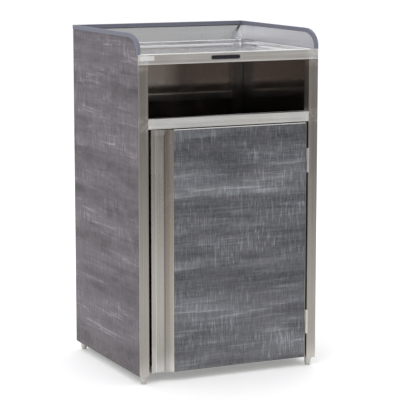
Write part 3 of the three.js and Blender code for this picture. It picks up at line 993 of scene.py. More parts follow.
def turned(mesh: bmesh.types.BMesh, profile: Sequence[Point], centre: Triple, axis: Axis = Axis.Z,
           segments: int = 40) -> None:
    """Turns a closed profile round an axis.

    Args:
        mesh: the mesh to add to.
        profile: (radius, height) points, from the axis back to the axis, or a closed ring.
        centre: where the axis passes, with height zero there.
        axis: the direction of the axis.
        segments: how many sides the turning has.
    """
    on_axis = profile[0][0] < 1e-9
    body = list(profile[1:-1]) if on_axis else [*profile, profile[0]]

    def spot(radius: float, height: float, angle: float) -> Vector:
        """A point of the turned body."""
        a, b = radius * math.cos(angle), radius * math.sin(angle)
        local = {Axis.Z: (a, b, height), Axis.X: (height, a, b), Axis.Y: (b, height, a)}[axis]
        return Vector(centre) + Vector(local)

    angles = [2 * math.pi * k / segments for k in range(segments)]
    rows = [[mesh.verts.new(spot(r, h, a)) for a in angles] for r, h in
            (body if on_axis else body[:-1])]
    pairs = list(zip(rows, rows[1:])) + ([] if on_axis else [(rows[-1], rows[0])])
    for low, high in pairs:
        skin(mesh, low, high)
    if on_axis:
        for row, (_, height), flip in ((rows[0], profile[0], True), (rows[-1], profile[-1], False)):
            pole = mesh.verts.new(spot(0.0, height, 0.0))
            for i in range(segments):
                j = (i + 1) % segments
                corner = (row[j], row[i], pole) if flip else (row[i], row[j], pole)
                mesh.faces.new(corner)


def soft_box(mesh: bmesh.types.BMesh, low: Sequence[float], high: Sequence[float],
             radius: float = 0.6 * MM, segments: int = 2) -> None:
    """Adds a box with rounded edges.

    Args:
        mesh: the mesh to add to.
        low: its lowest corner.
        high: its highest corner.
        radius: the radius of its edges.
        segments: how finely they are rounded.
    """
    made = bmesh.ops.create_cube(mesh, size=1.0)["verts"]
    centre = [(a + b) / 2 for a, b in zip(low, high)]
    size = [b - a for a, b in zip(low, high)]
    for vert in made:
        vert.co = Vector([c + s * k for c, s, k in zip(centre, size, vert.co)])
    corners = set(made)
    edges = [e for e in mesh.edges if e.verts[0] in corners]
    bmesh.ops.bevel(mesh, geom=edges, offset=min(radius, min(size) * 0.45), segments=segments,
                    profile=0.5, affect="EDGES")


def ease(mesh: bmesh.types.BMesh, edges: Iterable[bmesh.types.BMEdge], radius: float) -> None:
    """Rounds those of some edges where the mesh turns sharply.

    Args:
        mesh: the mesh.
        edges: the edges that may be rounded.
        radius: the radius.
    """
    sharp = [e for e in edges if e.calc_face_angle(0.0) > SHARP]
    bmesh.ops.bevel(mesh, geom=sharp, offset=radius, segments=2, profile=0.5, affect="EDGES",
                    clamp_overlap=True)


def new_object(name: str, mesh: bmesh.types.BMesh,
               material: bpy.types.Material) -> bpy.types.Object:
    """Puts a mesh into the scene.

    Args:
        name: the object's name.
        mesh: its mesh work, which is used up.
        material: its material.

    Returns:
        The new object.
    """
    data = bpy.data.meshes.new(name)
    mesh.to_mesh(data)
    mesh.free()
    data.materials.append(material)
    made = bpy.data.objects.new(name, data)
    bpy.context.scene.collection.objects.link(made)
    return made


@dataclass
class Shop:
    """Where pieces are made: it turns mesh work into objects that ride on the frame."""

    pieces: list[bpy.types.Object] = field(default_factory=list)

    def piece(self, node: str, word: str, mesh: bmesh.types.BMesh, finish: Finish,
              smooth: float = 32.0) -> None:
        """Makes an object of a mesh, which stands for a frame node and rides on its body.

        Args:
            node: the frame's node.
            word: what tells the piece from its node, at the end of its name.
            mesh: its mesh work, which is used up.
            finish: its finish.
            smooth: edges sharper than this angle, in degrees, stay crisp.
        """
        name = f"{node}_{word}"
        body = frame["nodes"][node]["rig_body"]
        bmesh.ops.recalc_face_normals(mesh, faces=mesh.faces[:])
        made = new_object(name, mesh, finish.material())
        made.data.shade_smooth()
        made.data.set_sharp_from_angle(angle=math.radians(smooth))
        normals = made.modifiers.new("even_normals", "WEIGHTED_NORMAL")
        normals.keep_sharp = True
        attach(made, body)
        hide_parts(node)
        self.pieces.append(made)
        LOG.info("made %s: %d faces on %s", name, len(made.data.polygons), body)

    def cut(self, node: str, word: str, finish: Finish, outline: Sequence[Point], plane: Plane,
            reach: Point, holes: Sequence[Sequence[Point]] = (),
            chamfer: float = 0.3 * MM) -> None:
        """Makes a piece of one extruded outline.

        Args:
            node: the frame's node.
            word: what tells the piece from its node.
            finish: its finish.
            outline: the closed outline, in the plane's two axes.
            plane: the plane that it is drawn in.
            reach: where it starts and ends along the third axis.
            holes: outlines of holes that go right through.
            chamfer: the size of its end chamfers.
        """
        mesh = bmesh.new()
        plate(mesh, outline, plane, reach, holes, chamfer)
        self.piece(node, word, mesh, finish)

    def softened(self, node: str, finish: Finish, radius: float = 0.5 * MM) -> None:
        """Stands for a frame node with a copy whose sharp edges are rounded.

        Args:
            node: the frame's node.
            finish: its finish.
            radius: the radius of its edges.
        """
        mesh = bmesh.new()
        mesh.from_mesh(frame["nodes"][node].data)
        bmesh.ops.remove_doubles(mesh, verts=mesh.verts[:], dist=1e-5)
        bmesh.ops.dissolve_limit(mesh, angle_limit=math.radians(1.0), verts=mesh.verts[:],
                                 edges=mesh.edges[:])
        ease(mesh, [e for e in mesh.edges if e.is_manifold], radius)
        self.piece(node, "finished", mesh, finish)


SHOP = Shop()


def span(node: str) -> tuple[Vector, Vector]:
    """The lowest and highest corner of a frame node."""
    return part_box(node)


def mirrored(points: Sequence[Point], side: Side) -> Loop:
    """An outline drawn for the right, flipped over where the side is the left."""
    return [(side.value * u, v) for u, v in points]


def circle(centre: Point, radius: float, steps: int = 24) -> Loop:
    """A round outline."""
    turns = [2 * math.pi * k / steps for k in range(steps)]
    return [(centre[0] + radius * math.cos(t), centre[1] + radius * math.sin(t)) for t in turns]


def arc(centre: Point, radius: float, start: float, sweep: float, steps: int) -> Loop:
    """Points along an arc.

    Args:
        centre: its centre.
        radius: its radius.
        start: the angle of its first point, in degrees.
        sweep: how far it turns, in degrees; below zero it turns clockwise.
        steps: how many steps it has.

    Returns:
        Its points, both ends included.
    """
    angles = [math.radians(start + sweep * k / steps) for k in range(steps + 1)]
    return [(centre[0] + radius * math.cos(t), centre[1] + radius * math.sin(t)) for t in angles]


def collar(bore: float, radius: float, low: float, high: float, chamfer: float) -> Loop:
    """The profile of a bored collar with chamfered ends.

    Args:
        bore: the radius of its bore.
        radius: its own radius.
        low: its lower end.
        high: its upper end.
        chamfer: the size of its chamfers.

    Returns:
        (radius, height) points.
    """
    return [(bore, low), (radius - chamfer, low), (radius, low + chamfer),
            (radius, high - chamfer), (radius - chamfer, high), (bore, high)]


def rectangle(low: Point, high: Point) -> Loop:
    """A plain rectangle, anticlockwise."""
    return [(low[0], low[1]), (high[0], low[1]), (high[0], high[1]), (low[0], high[1])]


def middle(node: str) -> Triple:
    """The centre of a frame node."""
    low, high = span(node)
    return tuple((a + b) / 2 for a, b in zip(low, high))


def side_limits(node: str) -> Point:
    """The least and greatest distance of a node from the middle plane."""
    low, high = span(node)
    near, far = sorted((abs(low.x), abs(high.x)))
    return near, far


# ---- Frame ----
@dataclass
class FrameWork:
    """The welded frame: folded front posts, the header rail and the hidden members."""

    wall: float = 1.5 * MM
    fold: float = 0.6 * MM
    weld: float = 0.25 * MM

    def build(self) -> None:
        """Builds every member of the frame."""
        for side in Side:
            self.front_post(side)
        self.header()
        for side in Side:
            SHOP.softened(f"rear_post_{side.word}", FRAME_STEEL, 1.2 * MM)
            SHOP.softened(f"side_bottom_rail_{side.word}", FRAME_STEEL, 0.8 * MM)
            SHOP.softened(f"side_top_rail_{side.word}", FRAME_STEEL, 0.8 * MM)
        for node in ("front_bottom_rail", "front_top_rail", "rear_bottom_rail", "rear_mid_rail",
                     "rear_top_rail"):
            SHOP.softened(node, FRAME_RAIL, 0.8 * MM)

    def front_post(self, side: Side) -> None:
        """Builds one post: a folded tube whose face runs out over the board's edge.

        Args:
            side: its side of the cabinet.
        """
        low, high = span(f"front_post_{side.word}")
        inner, outer = side_limits(f"front_post_{side.word}")
        tube = side_limits(f"side_panel_{side.word}")[0] - 2 * self.weld
        front, back = low.y, high.y
        corners = [(inner, front), (outer, front), (outer, front + self.wall),
                   (tube, front + self.wall), (tube, back), (inner, back)]
        radii = [self.fold, 0.6 * MM, 0.6 * MM, 0.4 * MM, self.fold, self.fold]
        hollow = rounded(rectangle((inner + self.wall, front + self.wall),
                                   (tube - self.wall, back - self.wall)), 0.7 * MM, 3)
        SHOP.cut(f"front_post_{side.word}", "folded", POST_STEEL,
                 mirrored(rounded(corners, radii), side), Plane.XY,
                 (low.z, high.z + self.weld), [mirrored(hollow, side)])

    def header(self) -> None:
        """Builds the rail between the slot and the door, welded between the posts."""
        low, high = span("header_rail")
        outer = rounded(rectangle((low.y, low.z), (high.y, high.z)), self.fold)
        hollow = rounded(rectangle((low.y + self.wall, low.z + self.wall),
                                   (high.y - self.wall, high.z - self.wall)), 0.7 * MM, 5)
        SHOP.cut("header_rail", "folded", HEADER_STEEL, outer, Plane.YZ,
                 (low.x - self.weld, high.x + self.weld), [hollow], 0.1 * MM)


# ---- Boards and linings ----
@dataclass
class Cladding:
    """The laminate-clad boards and the stainless linings inside them."""

    corner_run: float = 84 * MM
    corner_rise: float = 57 * MM
    facing: float = 0.8 * MM
    arc_steps: int = 28

    def build(self) -> None:
        """Builds the boards, the linings and the floor pan."""
        for side in Side:
            self.side_board(side)
            self.gallery_lining(side)
            SHOP.softened(f"side_liner_{side.word}", SIDE_LINING, 0.3 * MM)
        self.back_board()
        SHOP.softened("back_liner", BACK_LINING, 0.3 * MM)
        SHOP.softened("floor_pan", FRAME_RAIL, 0.5 * MM)

    def corner(self) -> Loop:
        """The round front corner of a side board, from its front edge to its top.

        Returns:
            Its points, in the YZ plane.
        """
        low, high = span("side_panel_left")
        centre = (low.y + self.corner_run, high.z - self.corner_rise)
        points: Loop = []
        for k in range(self.arc_steps + 1):
            angle = math.pi - math.pi / 2 * k / self.arc_steps
            points.append((centre[0] + self.corner_run * math.cos(angle),
                           centre[1] + self.corner_rise * math.sin(angle)))
        return points

    def outline(self, bottom: float, back: float) -> Loop:
        """The outline of a side board above a height and ahead of a back edge."""
        low, high = span("side_panel_left")
        return [(low.y, bottom), *self.corner(), (back, high.z), (back, bottom)]

    def side_board(self, side: Side) -> None:
        """Builds a side board: its core, and the laminate sheet glued on its outside.

        Args:
            side: its side of the cabinet.
        """
        node = f"side_panel_{side.word}"
        low, high = span(node)
        inner, outer = side_limits(node)
        joint = outer - self.facing
        shape = self.outline(low.z, high.y)
        SHOP.cut(node, "core", BOARD_CORE, shape, Plane.YZ,
                 (side.value * inner, side.value * (joint - GLUE_LINE)))
        SHOP.cut(node, "laminate", SIDE_LAMINATE, shape, Plane.YZ,
                 (side.value * joint, side.value * outer), chamfer=0.2 * MM)

    def back_board(self) -> None:
        """Builds the back board: its core, and the laminate sheet glued on its outside."""
        low, high = span("back_panel")
        joint = high.y - self.facing
        shape = rectangle((low.x, low.z), (high.x, high.z))
        SHOP.cut("back_panel", "core", BOARD_CORE, shape, Plane.XZ, (low.y, joint - GLUE_LINE))
        SHOP.cut("back_panel", "laminate", BACK_LAMINATE, shape, Plane.XZ, (joint, high.y),
                 chamfer=0.2 * MM)

    def gallery_lining(self, side: Side) -> None:
        """Builds the bright lining on the inside of a gallery side.

        Args:
            side: its side of the cabinet.
        """
        node = f"gallery_liner_{side.word}"
        low, high = span(node)
        inner, outer = side_limits(node)
        SHOP.cut(node, "sheet", GALLERY_STEEL, self.outline(low.z, high.y), Plane.YZ,
                 (side.value * inner, side.value * outer), chamfer=0.2 * MM)


# ---- Tray top ----
@dataclass
class TrayTop:
    """The pressed tray with its apron, the back splash, the edge trim and the two plates."""

    sheet: float = 1.5 * MM
    corner: float = 9 * MM
    cove: float = 5 * MM
    bead: float = 3.2 * MM
    bend: float = 3.0 * MM
    hem: float = 1.6 * MM
    trim_wall: float = 1.0 * MM
    trim_leg: float = 13 * MM
    rim_front: float = 6 * MM
    rim_side: float = 14.1 * MM
    rim_back: float = 27.2 * MM
    tray_drop: float = 17 * MM

    def build(self, cladding: Cladding) -> None:
        """Builds the tray, its apron, the splash, the trim and the plates.

        Args:
            cladding: the boards that the trim goes over.
        """
        self.tray()
        self.apron()
        self.splash()
        for side in Side:
            self.side_trim(cladding, side)
        self.back_trim()
        self.plates()

    def tray(self) -> None:
        """Builds the recessed tray as one pressed sheet with coved corners."""
        low, high = span("worktop")
        half = side_limits("gallery_liner_right")[1]
        front = low.y + self.bend - 0.4 * MM
        outer = ((-half, front), (half, high.y))
        mouth = ((-half + self.rim_side, low.y + self.rim_front),
                 (half - self.rim_side, high.y - self.rim_back))
        floor = high.z - self.tray_drop

        def ring(limits: tuple[Point, Point], inset: float, radius: float,
                 height: float) -> list[Triple]:
            """One ring of the pressing, inset from a rectangle.

            Args:
                limits: the rectangle, as two corners.
                inset: how far inside it the ring lies.
                radius: the radius of its corners.
                height: its height.

            Returns:
                The ring's points.
            """
            (x0, y0), (x1, y1) = limits
            centre = ((x0 + x1) / 2, (y0 + y1) / 2)
            size = ((x1 - x0) / 2 - inset, (y1 - y0) / 2 - inset)
            return placed(rounded_rectangle(centre, size, radius, 8), Plane.XY, height)

        t = self.sheet
        under = [ring(mouth, self.cove, self.corner, floor - t)]
        under += self.cove_rings(ring, mouth, floor, -t)
        under.append(ring(mouth, -t, self.corner + t, high.z - t - 0.6 * MM))
        under.append(ring(mouth, -t - 0.6 * MM, self.corner + t, high.z - t))
        under.append(ring(outer, 0.3 * MM, 1.0 * MM, high.z - t))
        over = [ring(outer, 0.0, 1.0 * MM, high.z - t + 0.3 * MM),
                ring(outer, 0.0, 1.0 * MM, high.z - 0.3 * MM),
                ring(outer, 0.3 * MM, 1.0 * MM, high.z)]
        for k in range(6):
            angle = math.pi / 2 * k / 5
            drop = self.bead * (1 - math.cos(angle))
            over.append(ring(mouth, -self.bead * (1 - math.sin(angle)), self.corner + self.bead,
                             high.z - drop))
        over += self.cove_rings(ring, mouth, floor, 0.0)[::-1]
        over.append(ring(mouth, self.cove + 0.2 * MM, self.corner, floor))
        mesh = bmesh.new()
        loft(mesh, [*under, *over])
        SHOP.piece("worktop", "tray", mesh, TRAY_STEEL, smooth=50.0)

    def cove_rings(self, ring: Callable[..., list[Triple]], mouth: tuple[Point, Point],
                   floor: float, shift: float) -> list[list[Triple]]:
        """The rings of the cove between the tray's floor and its wall.

        Args:
            ring: makes one ring of the pressing.
            mouth: the tray's mouth, as two corners.
            floor: the height of the tray's floor.
            shift: zero for the upper face, minus the sheet's thickness for the lower.

        Returns:
            The rings, from the floor up.
        """
        rings = []
        for k in range(6):
            angle = math.pi / 2 * k / 5
            radius = self.cove - shift
            inset = self.cove - radius * math.sin(angle)
            height = floor + self.cove - radius * math.cos(angle)
            rings.append(ring(mouth, inset, self.corner - shift, height))
        return rings

    def apron(self) -> None:
        """Builds the tray's turned-down front, bent over at the top and hemmed at the bottom."""
        low, high = span("worktop")
        front, back = low.y, low.y + self.sheet
        section = [*arc((front + 0.5 * self.hem, low.z + self.hem), self.hem, -90.0, -150.0, 8),
                   *arc((front + self.bend, high.z - self.bend), self.bend, 180.0, -90.0, 7),
                   (front + self.bend, high.z - self.sheet), (back, high.z - self.bend),
                   (back, low.z + 0.3 * MM)]
        SHOP.cut("worktop", "apron", APRON_STEEL, section, Plane.YZ, (low.x, high.x),
                 chamfer=0.25 * MM)

    def splash(self) -> None:
        """Builds the sloping splash at the back of the tray, with a hem along its top."""
        low, high = span("back_splash")
        hem = 1.2 * MM
        path = [(low.y, low.z), (high.y - hem, high.z - hem), (high.y - 0.2 * MM, high.z - hem)]
        section = [(min(y, high.y), z) for y, z in bent_sheet(path, -hem, 1.6 * MM)]
        SHOP.cut("back_splash", "folded", SPLASH_STEEL, section, Plane.YZ, (low.x, high.x),
                 chamfer=0.2 * MM)

    def trim_path(self, cladding: Cladding, stop: float) -> list[tuple[Point, Point]]:
        """The route of the trim over a side board's edge, up to a stop behind.

        Args:
            cladding: the boards that it goes over.
            stop: where it ends, along Y.

        Returns:
            Points of the route, each with its outward direction.
        """
        low, high = span("side_panel_left")
        foot = span("edge_trim_left")[0].z
        corner = cladding.corner()
        path = [((low.y, foot), (-1.0, 0.0)), ((low.y, (foot + corner[0][1]) / 2), (-1.0, 0.0))]
        for i, point in enumerate(corner):
            angle = math.pi - math.pi / 2 * i / (len(corner) - 1)
            normal = Vector((math.cos(angle) / cladding.corner_run,
                             math.sin(angle) / cladding.corner_rise)).normalized()
            path.append((point, (normal.x, normal.y)))
        path += [((stop - 0.2, high.z), (0.0, 1.0)), ((stop, high.z), (0.0, 1.0))]
        return path

    def trim_section(self, near: float, far: float, legs: tuple[bool, bool]) -> Loop:
        """The section of the trim.

        Args:
            near: the |x| of its inner face.
            far: the |x| of its outer face.
            legs: whether the inner leg goes down over the board, then a flag for the outer leg that
                is not used; the outer leg always goes down.

        Returns:
            A closed outline of (|x|, height above the board's edge).
        """
        wall, top = self.trim_wall, self.trim_wall + 0.3 * MM
        inner = [(near, -self.trim_leg), (near, top)] if legs[0] else [(near, 0.3 * MM), (near, top)]
        outer = [(far, top), (far, -self.trim_leg), (far - wall, -self.trim_leg),
                 (far - wall, 0.3 * MM)]
        if not legs[0]:
            return rounded([*inner, *outer], [0.2 * MM, 0.2 * MM, 1.1 * MM, 0.4 * MM,
                                              0.4 * MM, 0.15 * MM], 4)
        back = [(near + wall, 0.3 * MM), (near + wall, -self.trim_leg)]
        radii = [0.4 * MM, 1.1 * MM, 1.1 * MM, 0.4 * MM, 0.4 * MM, 0.15 * MM, 0.15 * MM, 0.4 * MM]
        return rounded([*inner, *outer, *back], radii, 4)

    def side_trim(self, cladding: Cladding, side: Side) -> None:
        """Builds the trim over a side board, with its closed rear end.

        Args:
            cladding: the boards that it goes over.
            side: its side of the cabinet.
        """
        high = span(f"edge_trim_{side.word}")[1]
        near, far = side_limits(f"edge_trim_{side.word}")
        turn = span("edge_trim_back")[0].y - 0.3 * MM
        mesh = bmesh.new()
        section = [(side.value * x, h) for x, h in self.trim_section(near, far, (True, True))]
        sweep(mesh, self.trim_path(cladding, turn), section)
        rear = [(side.value * x, h) for x, h in self.trim_section(near, far, (False, True))]
        top = span("side_panel_left")[1].z
        stops = (turn, high.y - self.trim_wall)
        sweep(mesh, [((y, top), (0.0, 1.0)) for y in stops], rear)
        near_x, far_x = sorted((side.value * near, side.value * far))
        soft_box(mesh, (near_x, high.y - self.trim_wall, top - self.trim_leg),
                 (far_x, high.y, high.z), 0.4 * MM)
        SHOP.piece(f"edge_trim_{side.word}", "channel", mesh, SLATE_TRIM)

    def back_trim(self) -> None:
        """Builds the trim over the back board."""
        low, high = span("edge_trim_back")
        wall = self.trim_wall
        corners = [(low.y, low.z), (low.y + wall, low.z), (low.y + wall, high.z - wall),
                   (high.y - wall, high.z - wall), (high.y - wall, low.z), (high.y, low.z),
                   (high.y, high.z), (low.y, high.z)]
        radii = [0.4 * MM, 0.4 * MM, 0.15 * MM, 0.15 * MM, 0.4 * MM, 0.4 * MM, 1.1 * MM, 1.1 * MM]
        SHOP.cut("edge_trim_back", "channel", SLATE_TRIM, rounded(corners, radii, 4), Plane.YZ,
                 (low.x, high.x), chamfer=0.15 * MM)

    def tablet(self, node: str, radius: float, steps: int = 6) -> Loop:
        """The round-cornered outline that fills a node's front.

        Args:
            node: the frame's node.
            radius: the radius of its corners, at most half its height.
            steps: points along each corner.

        Returns:
            The closed outline.
        """
        low, high = span(node)
        x, _, z = middle(node)
        half = ((high.x - low.x) / 2, (high.z - low.z) / 2)
        return rounded_rectangle((x, z), half, min(radius, half[1] - 0.01 * MM), steps)

    def plates(self) -> None:
        """Builds the blank name plate and the blank notice label on the apron."""
        low, high = span("name_plate")
        shape = self.tablet("name_plate", high.z - low.z, 10)
        SHOP.cut("name_plate", "base", PLATE_BLACK, shape, Plane.XZ,
                 (low.y + 0.25 * MM, high.y), chamfer=0.15 * MM)
        SHOP.cut("name_plate", "border", HARDWARE_STEEL, offset(shape, 0.5 * MM), Plane.XZ,
                 (low.y, low.y + 0.3 * MM), [offset(shape, 1.3 * MM)], 0.08 * MM)
        low, high = span("notice_label")
        SHOP.cut("notice_label", "film", LABEL_FILM, self.tablet("notice_label", 2 * MM),
                 Plane.XZ, (low.y, high.y), chamfer=0.1 * MM)


# ---- Door ----
@dataclass
class Door:
    """The door: a steel pan, the laminate board set in it, and the trough of its pull."""

    sheet: float = 1.2 * MM
    facing: float = 0.8 * MM
    bend: float = 0.7 * MM
    lip_depth: float = 13 * MM
    floor_depth: float = 19 * MM
    floor_from: float = 19 * MM
    floor_to: float = 49 * MM
    flange: float = 9 * MM
    cap_tilt: float = 0.9 * MM
    cap_slope: float = 0.45
    hem: float = 1.6 * MM
    roll: float = 1.0 * MM

    def build(self) -> None:
        """Builds the door's pieces."""
        SHOP.softened("door_pan", DOOR_STEEL, 0.45 * MM)
        self.pull()
        self.end_cap()
        self.board()
        self.top_hem()
        SHOP.softened("catch_strike", HARDWARE_STEEL, 0.4 * MM)

    def pull(self) -> None:
        """Builds the pull: one sheet folded into a lip, a trough floor and a sloping wall."""
        low, high = span("door_pull")
        front = low.y
        path = [(low.x, high.y), (low.x, front + self.lip_depth),
                (low.x + self.floor_from, front + self.floor_depth),
                (low.x + self.floor_to, front + self.floor_depth), (high.x, front),
                (high.x, front + self.flange)]
        SHOP.cut("door_pull", "folded", PULL_STEEL, bent_sheet(path, self.sheet, self.bend, 6),
                 Plane.XY, (low.z, high.z), chamfer=0.15 * MM)

    def end_cap(self) -> None:
        """Builds the plate that closes the top of the trough, mitred against the lip."""
        low, high = span("pull_end_cap")
        drop = high.z - low.z
        left, right = low.x, high.x
        foot_right = right - drop * self.cap_slope
        rows = []
        for depth, tilt in ((low.y, self.cap_tilt), (high.y - 0.3 * MM, 0.0)):
            rows.append([(left, depth, high.z), (left + drop - self.sheet, depth + tilt, low.z),
                         (foot_right, depth + tilt, low.z), (right, depth, high.z)])
        mesh = bmesh.new()
        loft(mesh, rows)
        ease(mesh, mesh.edges, 0.35 * MM)
        SHOP.piece("pull_end_cap", "plate", mesh, PULL_STEEL)

    def top_hem(self) -> None:
        """Builds the pan's top hem, rolled over in front of the board's upper edge; its steel is
        painted lighter than the door's, a painted highlight along the door's top.
        """
        low, high = span("door_laminate")
        top = span("door_pan")[1].z
        base = high.z - self.hem
        section = [(low.y, base), (low.y - self.roll, base + 0.4 * MM),
                   (low.y - self.roll, base + 1.1 * MM), (low.y - 0.1 * MM, top), (low.y, top)]
        SHOP.cut("door_pan", "hem", HEM_STEEL, section, Plane.YZ,
                 (low.x - 0.3 * MM, high.x - 3 * MM), chamfer=0.05 * MM)

    def board(self) -> None:
        """Builds the door's board: its core, and the laminate sheet on its face."""
        low, high = span("door_laminate")
        joint = low.y + self.facing
        below_hem = rectangle((low.x, low.z), (high.x, high.z - self.hem - 0.1 * MM))
        SHOP.cut("door_laminate", "face", FRONT_LAMINATE, below_hem, Plane.XZ, (low.y, joint),
                 chamfer=0.25 * MM)
        full = rectangle((low.x, low.z), (high.x, high.z))
        SHOP.cut("door_laminate", "core", BOARD_CORE, full, Plane.XZ, (joint + GLUE_LINE, high.y))


# ---- Hinges and catch ----
@dataclass
class HingeSet:
    """Two lift-off butt hinges, with their screws."""

    bore: float = 2.6 * MM
    knuckle: float = 4.5 * MM
    chamfer: float = 0.5 * MM
    corner: float = 3 * MM
    screw_hole: float = 2.1 * MM
    leaf_sheet: float = 1.5 * MM
    leaf_start: float = 2.2 * MM
    shaft: float = 2.3 * MM
    shaft_chamfer: float = 0.8 * MM
    washer_half: float = 0.6 * MM
    washer_chamfer: float = 0.15 * MM
    shank: float = 1.8 * MM

    def build(self) -> None:
        """Builds both hinges."""
        for word in ("upper", "lower"):
            for part in Leaf:
                self.leaf(word, part)
                for number in (1, 2):
                    self.screw(f"{word}_{part.value}_screw_{number}", part)
            self.pin(word)

    def leaf(self, word: str, part: Leaf) -> None:
        """Builds a leaf: a rolled knuckle with chamfered ends, and its screwed plate.

        Args:
            word: which hinge it belongs to.
            part: what it is screwed to.
        """
        node = f"{word}_hinge_{part.value}_leaf"
        low, high = span(node)
        x, y, _ = middle(f"{word}_hinge_pin")
        mesh = bmesh.new()
        turned(mesh, collar(self.bore, self.knuckle, low.z, high.z, self.chamfer), (x, y, 0.0))
        inside = (low.x, low.x + self.leaf_sheet)
        reach = inside if part is Leaf.DOOR else (high.x - self.leaf_sheet, high.x)
        shape = rounded(rectangle((y + self.leaf_start, low.z), (high.y, high.z)),
                        [0.2 * MM, self.corner, self.corner, 0.2 * MM])
        screws = [middle(f"{word}_{part.value}_screw_{number}") for number in (1, 2)]
        holes = [circle(centre[1:], self.screw_hole) for centre in screws]
        plate(mesh, shape, Plane.YZ, reach, holes, chamfer=0.25 * MM)
        SHOP.piece(node, "rolled", mesh, HARDWARE_STEEL)

    def pin(self, word: str) -> None:
        """Builds a hinge pin with rounded ends and the washer that the leaves turn on.

        Args:
            word: which hinge it belongs to.
        """
        node = f"{word}_hinge_pin"
        low, high = span(node)
        x, y, z = middle(node)
        washer = (high.x - low.x) / 2
        edge, half, c = self.washer_chamfer, self.washer_half, self.shaft_chamfer
        profile = [(0.0, low.z), (self.shaft - c, low.z), (self.shaft, low.z + c),
                   (self.shaft, z - half), (washer - edge, z - half),
                   (washer, z - half + edge), (washer, z + half - edge),
                   (washer - edge, z + half), (self.shaft, z + half),
                   (self.shaft, high.z - c), (self.shaft - c, high.z), (0.0, high.z)]
        mesh = bmesh.new()
        turned(mesh, profile, (x, y, 0.0))
        SHOP.piece(node, "turned", mesh, HARDWARE_STEEL)

    def screw(self, node: str, part: Leaf) -> None:
        """Builds a pan-head screw with a driver recess.

        Args:
            node: the frame's node.
            part: what it goes into.
        """
        low, high = span(node)
        _, y, z = middle(node)
        head = (high.z - low.z) / 2
        recess, rise = 0.55 * MM, 1.0 * MM
        tip = high.x - low.x
        profile = [(0.0, recess), (1.1 * MM, recess), (1.3 * MM, 0.05 * MM),
                   (head * 0.6, 0.12 * MM), (head * 0.88, 0.4 * MM), (head, 0.8 * MM),
                   (head, rise), (self.shank, rise), (self.shank, tip - 1.5 * MM),
                   (0.5 * MM, tip), (0.0, tip)]
        start, way = (high.x, -1) if part is Leaf.DOOR else (low.x, 1)
        mesh = bmesh.new()
        turned(mesh, [(r, start + way * h) for r, h in profile], (0.0, y, z), Axis.X, 24)
        SHOP.piece(node, "turned", mesh, HARDWARE_STEEL)


@dataclass
class Catch:
    """The magnetic catch that hangs behind the header rail."""

    pole: float = 1.4 * MM

    def build(self) -> None:
        """Builds the case with its tab, and the two pole plates of the magnet."""
        low, high = span("magnetic_catch")
        tab_y = span("header_rail")[1].y + 0.3 * MM
        case_top = high.z - 31 * MM
        case = bmesh.new()
        soft_box(case, (low.x, low.y + 0.3 * MM, low.z), (high.x, high.y, case_top), 1.5 * MM, 3)
        holes = [circle((x, high.z - 12 * MM), 2.0 * MM) for x in (low.x + 9 * MM, high.x - 9 * MM)]
        shape = rounded(rectangle((low.x, case_top - 1 * MM), (high.x, high.z)),
                        [0.3 * MM, 0.3 * MM, 4 * MM, 4 * MM])
        plate(case, shape, Plane.XZ, (tab_y, tab_y + 1.6 * MM), holes, chamfer=0.2 * MM)
        SHOP.piece("magnetic_catch", "case", case, CATCH_BLACK)
        poles = bmesh.new()
        for z in (low.z + 5 * MM, case_top - 6.4 * MM):
            soft_box(poles, (low.x + 4 * MM, low.y, z),
                     (high.x - 4 * MM, low.y + 6 * MM, z + self.pole), 0.3 * MM)
        SHOP.piece("magnetic_catch", "poles", poles, HARDWARE_STEEL)


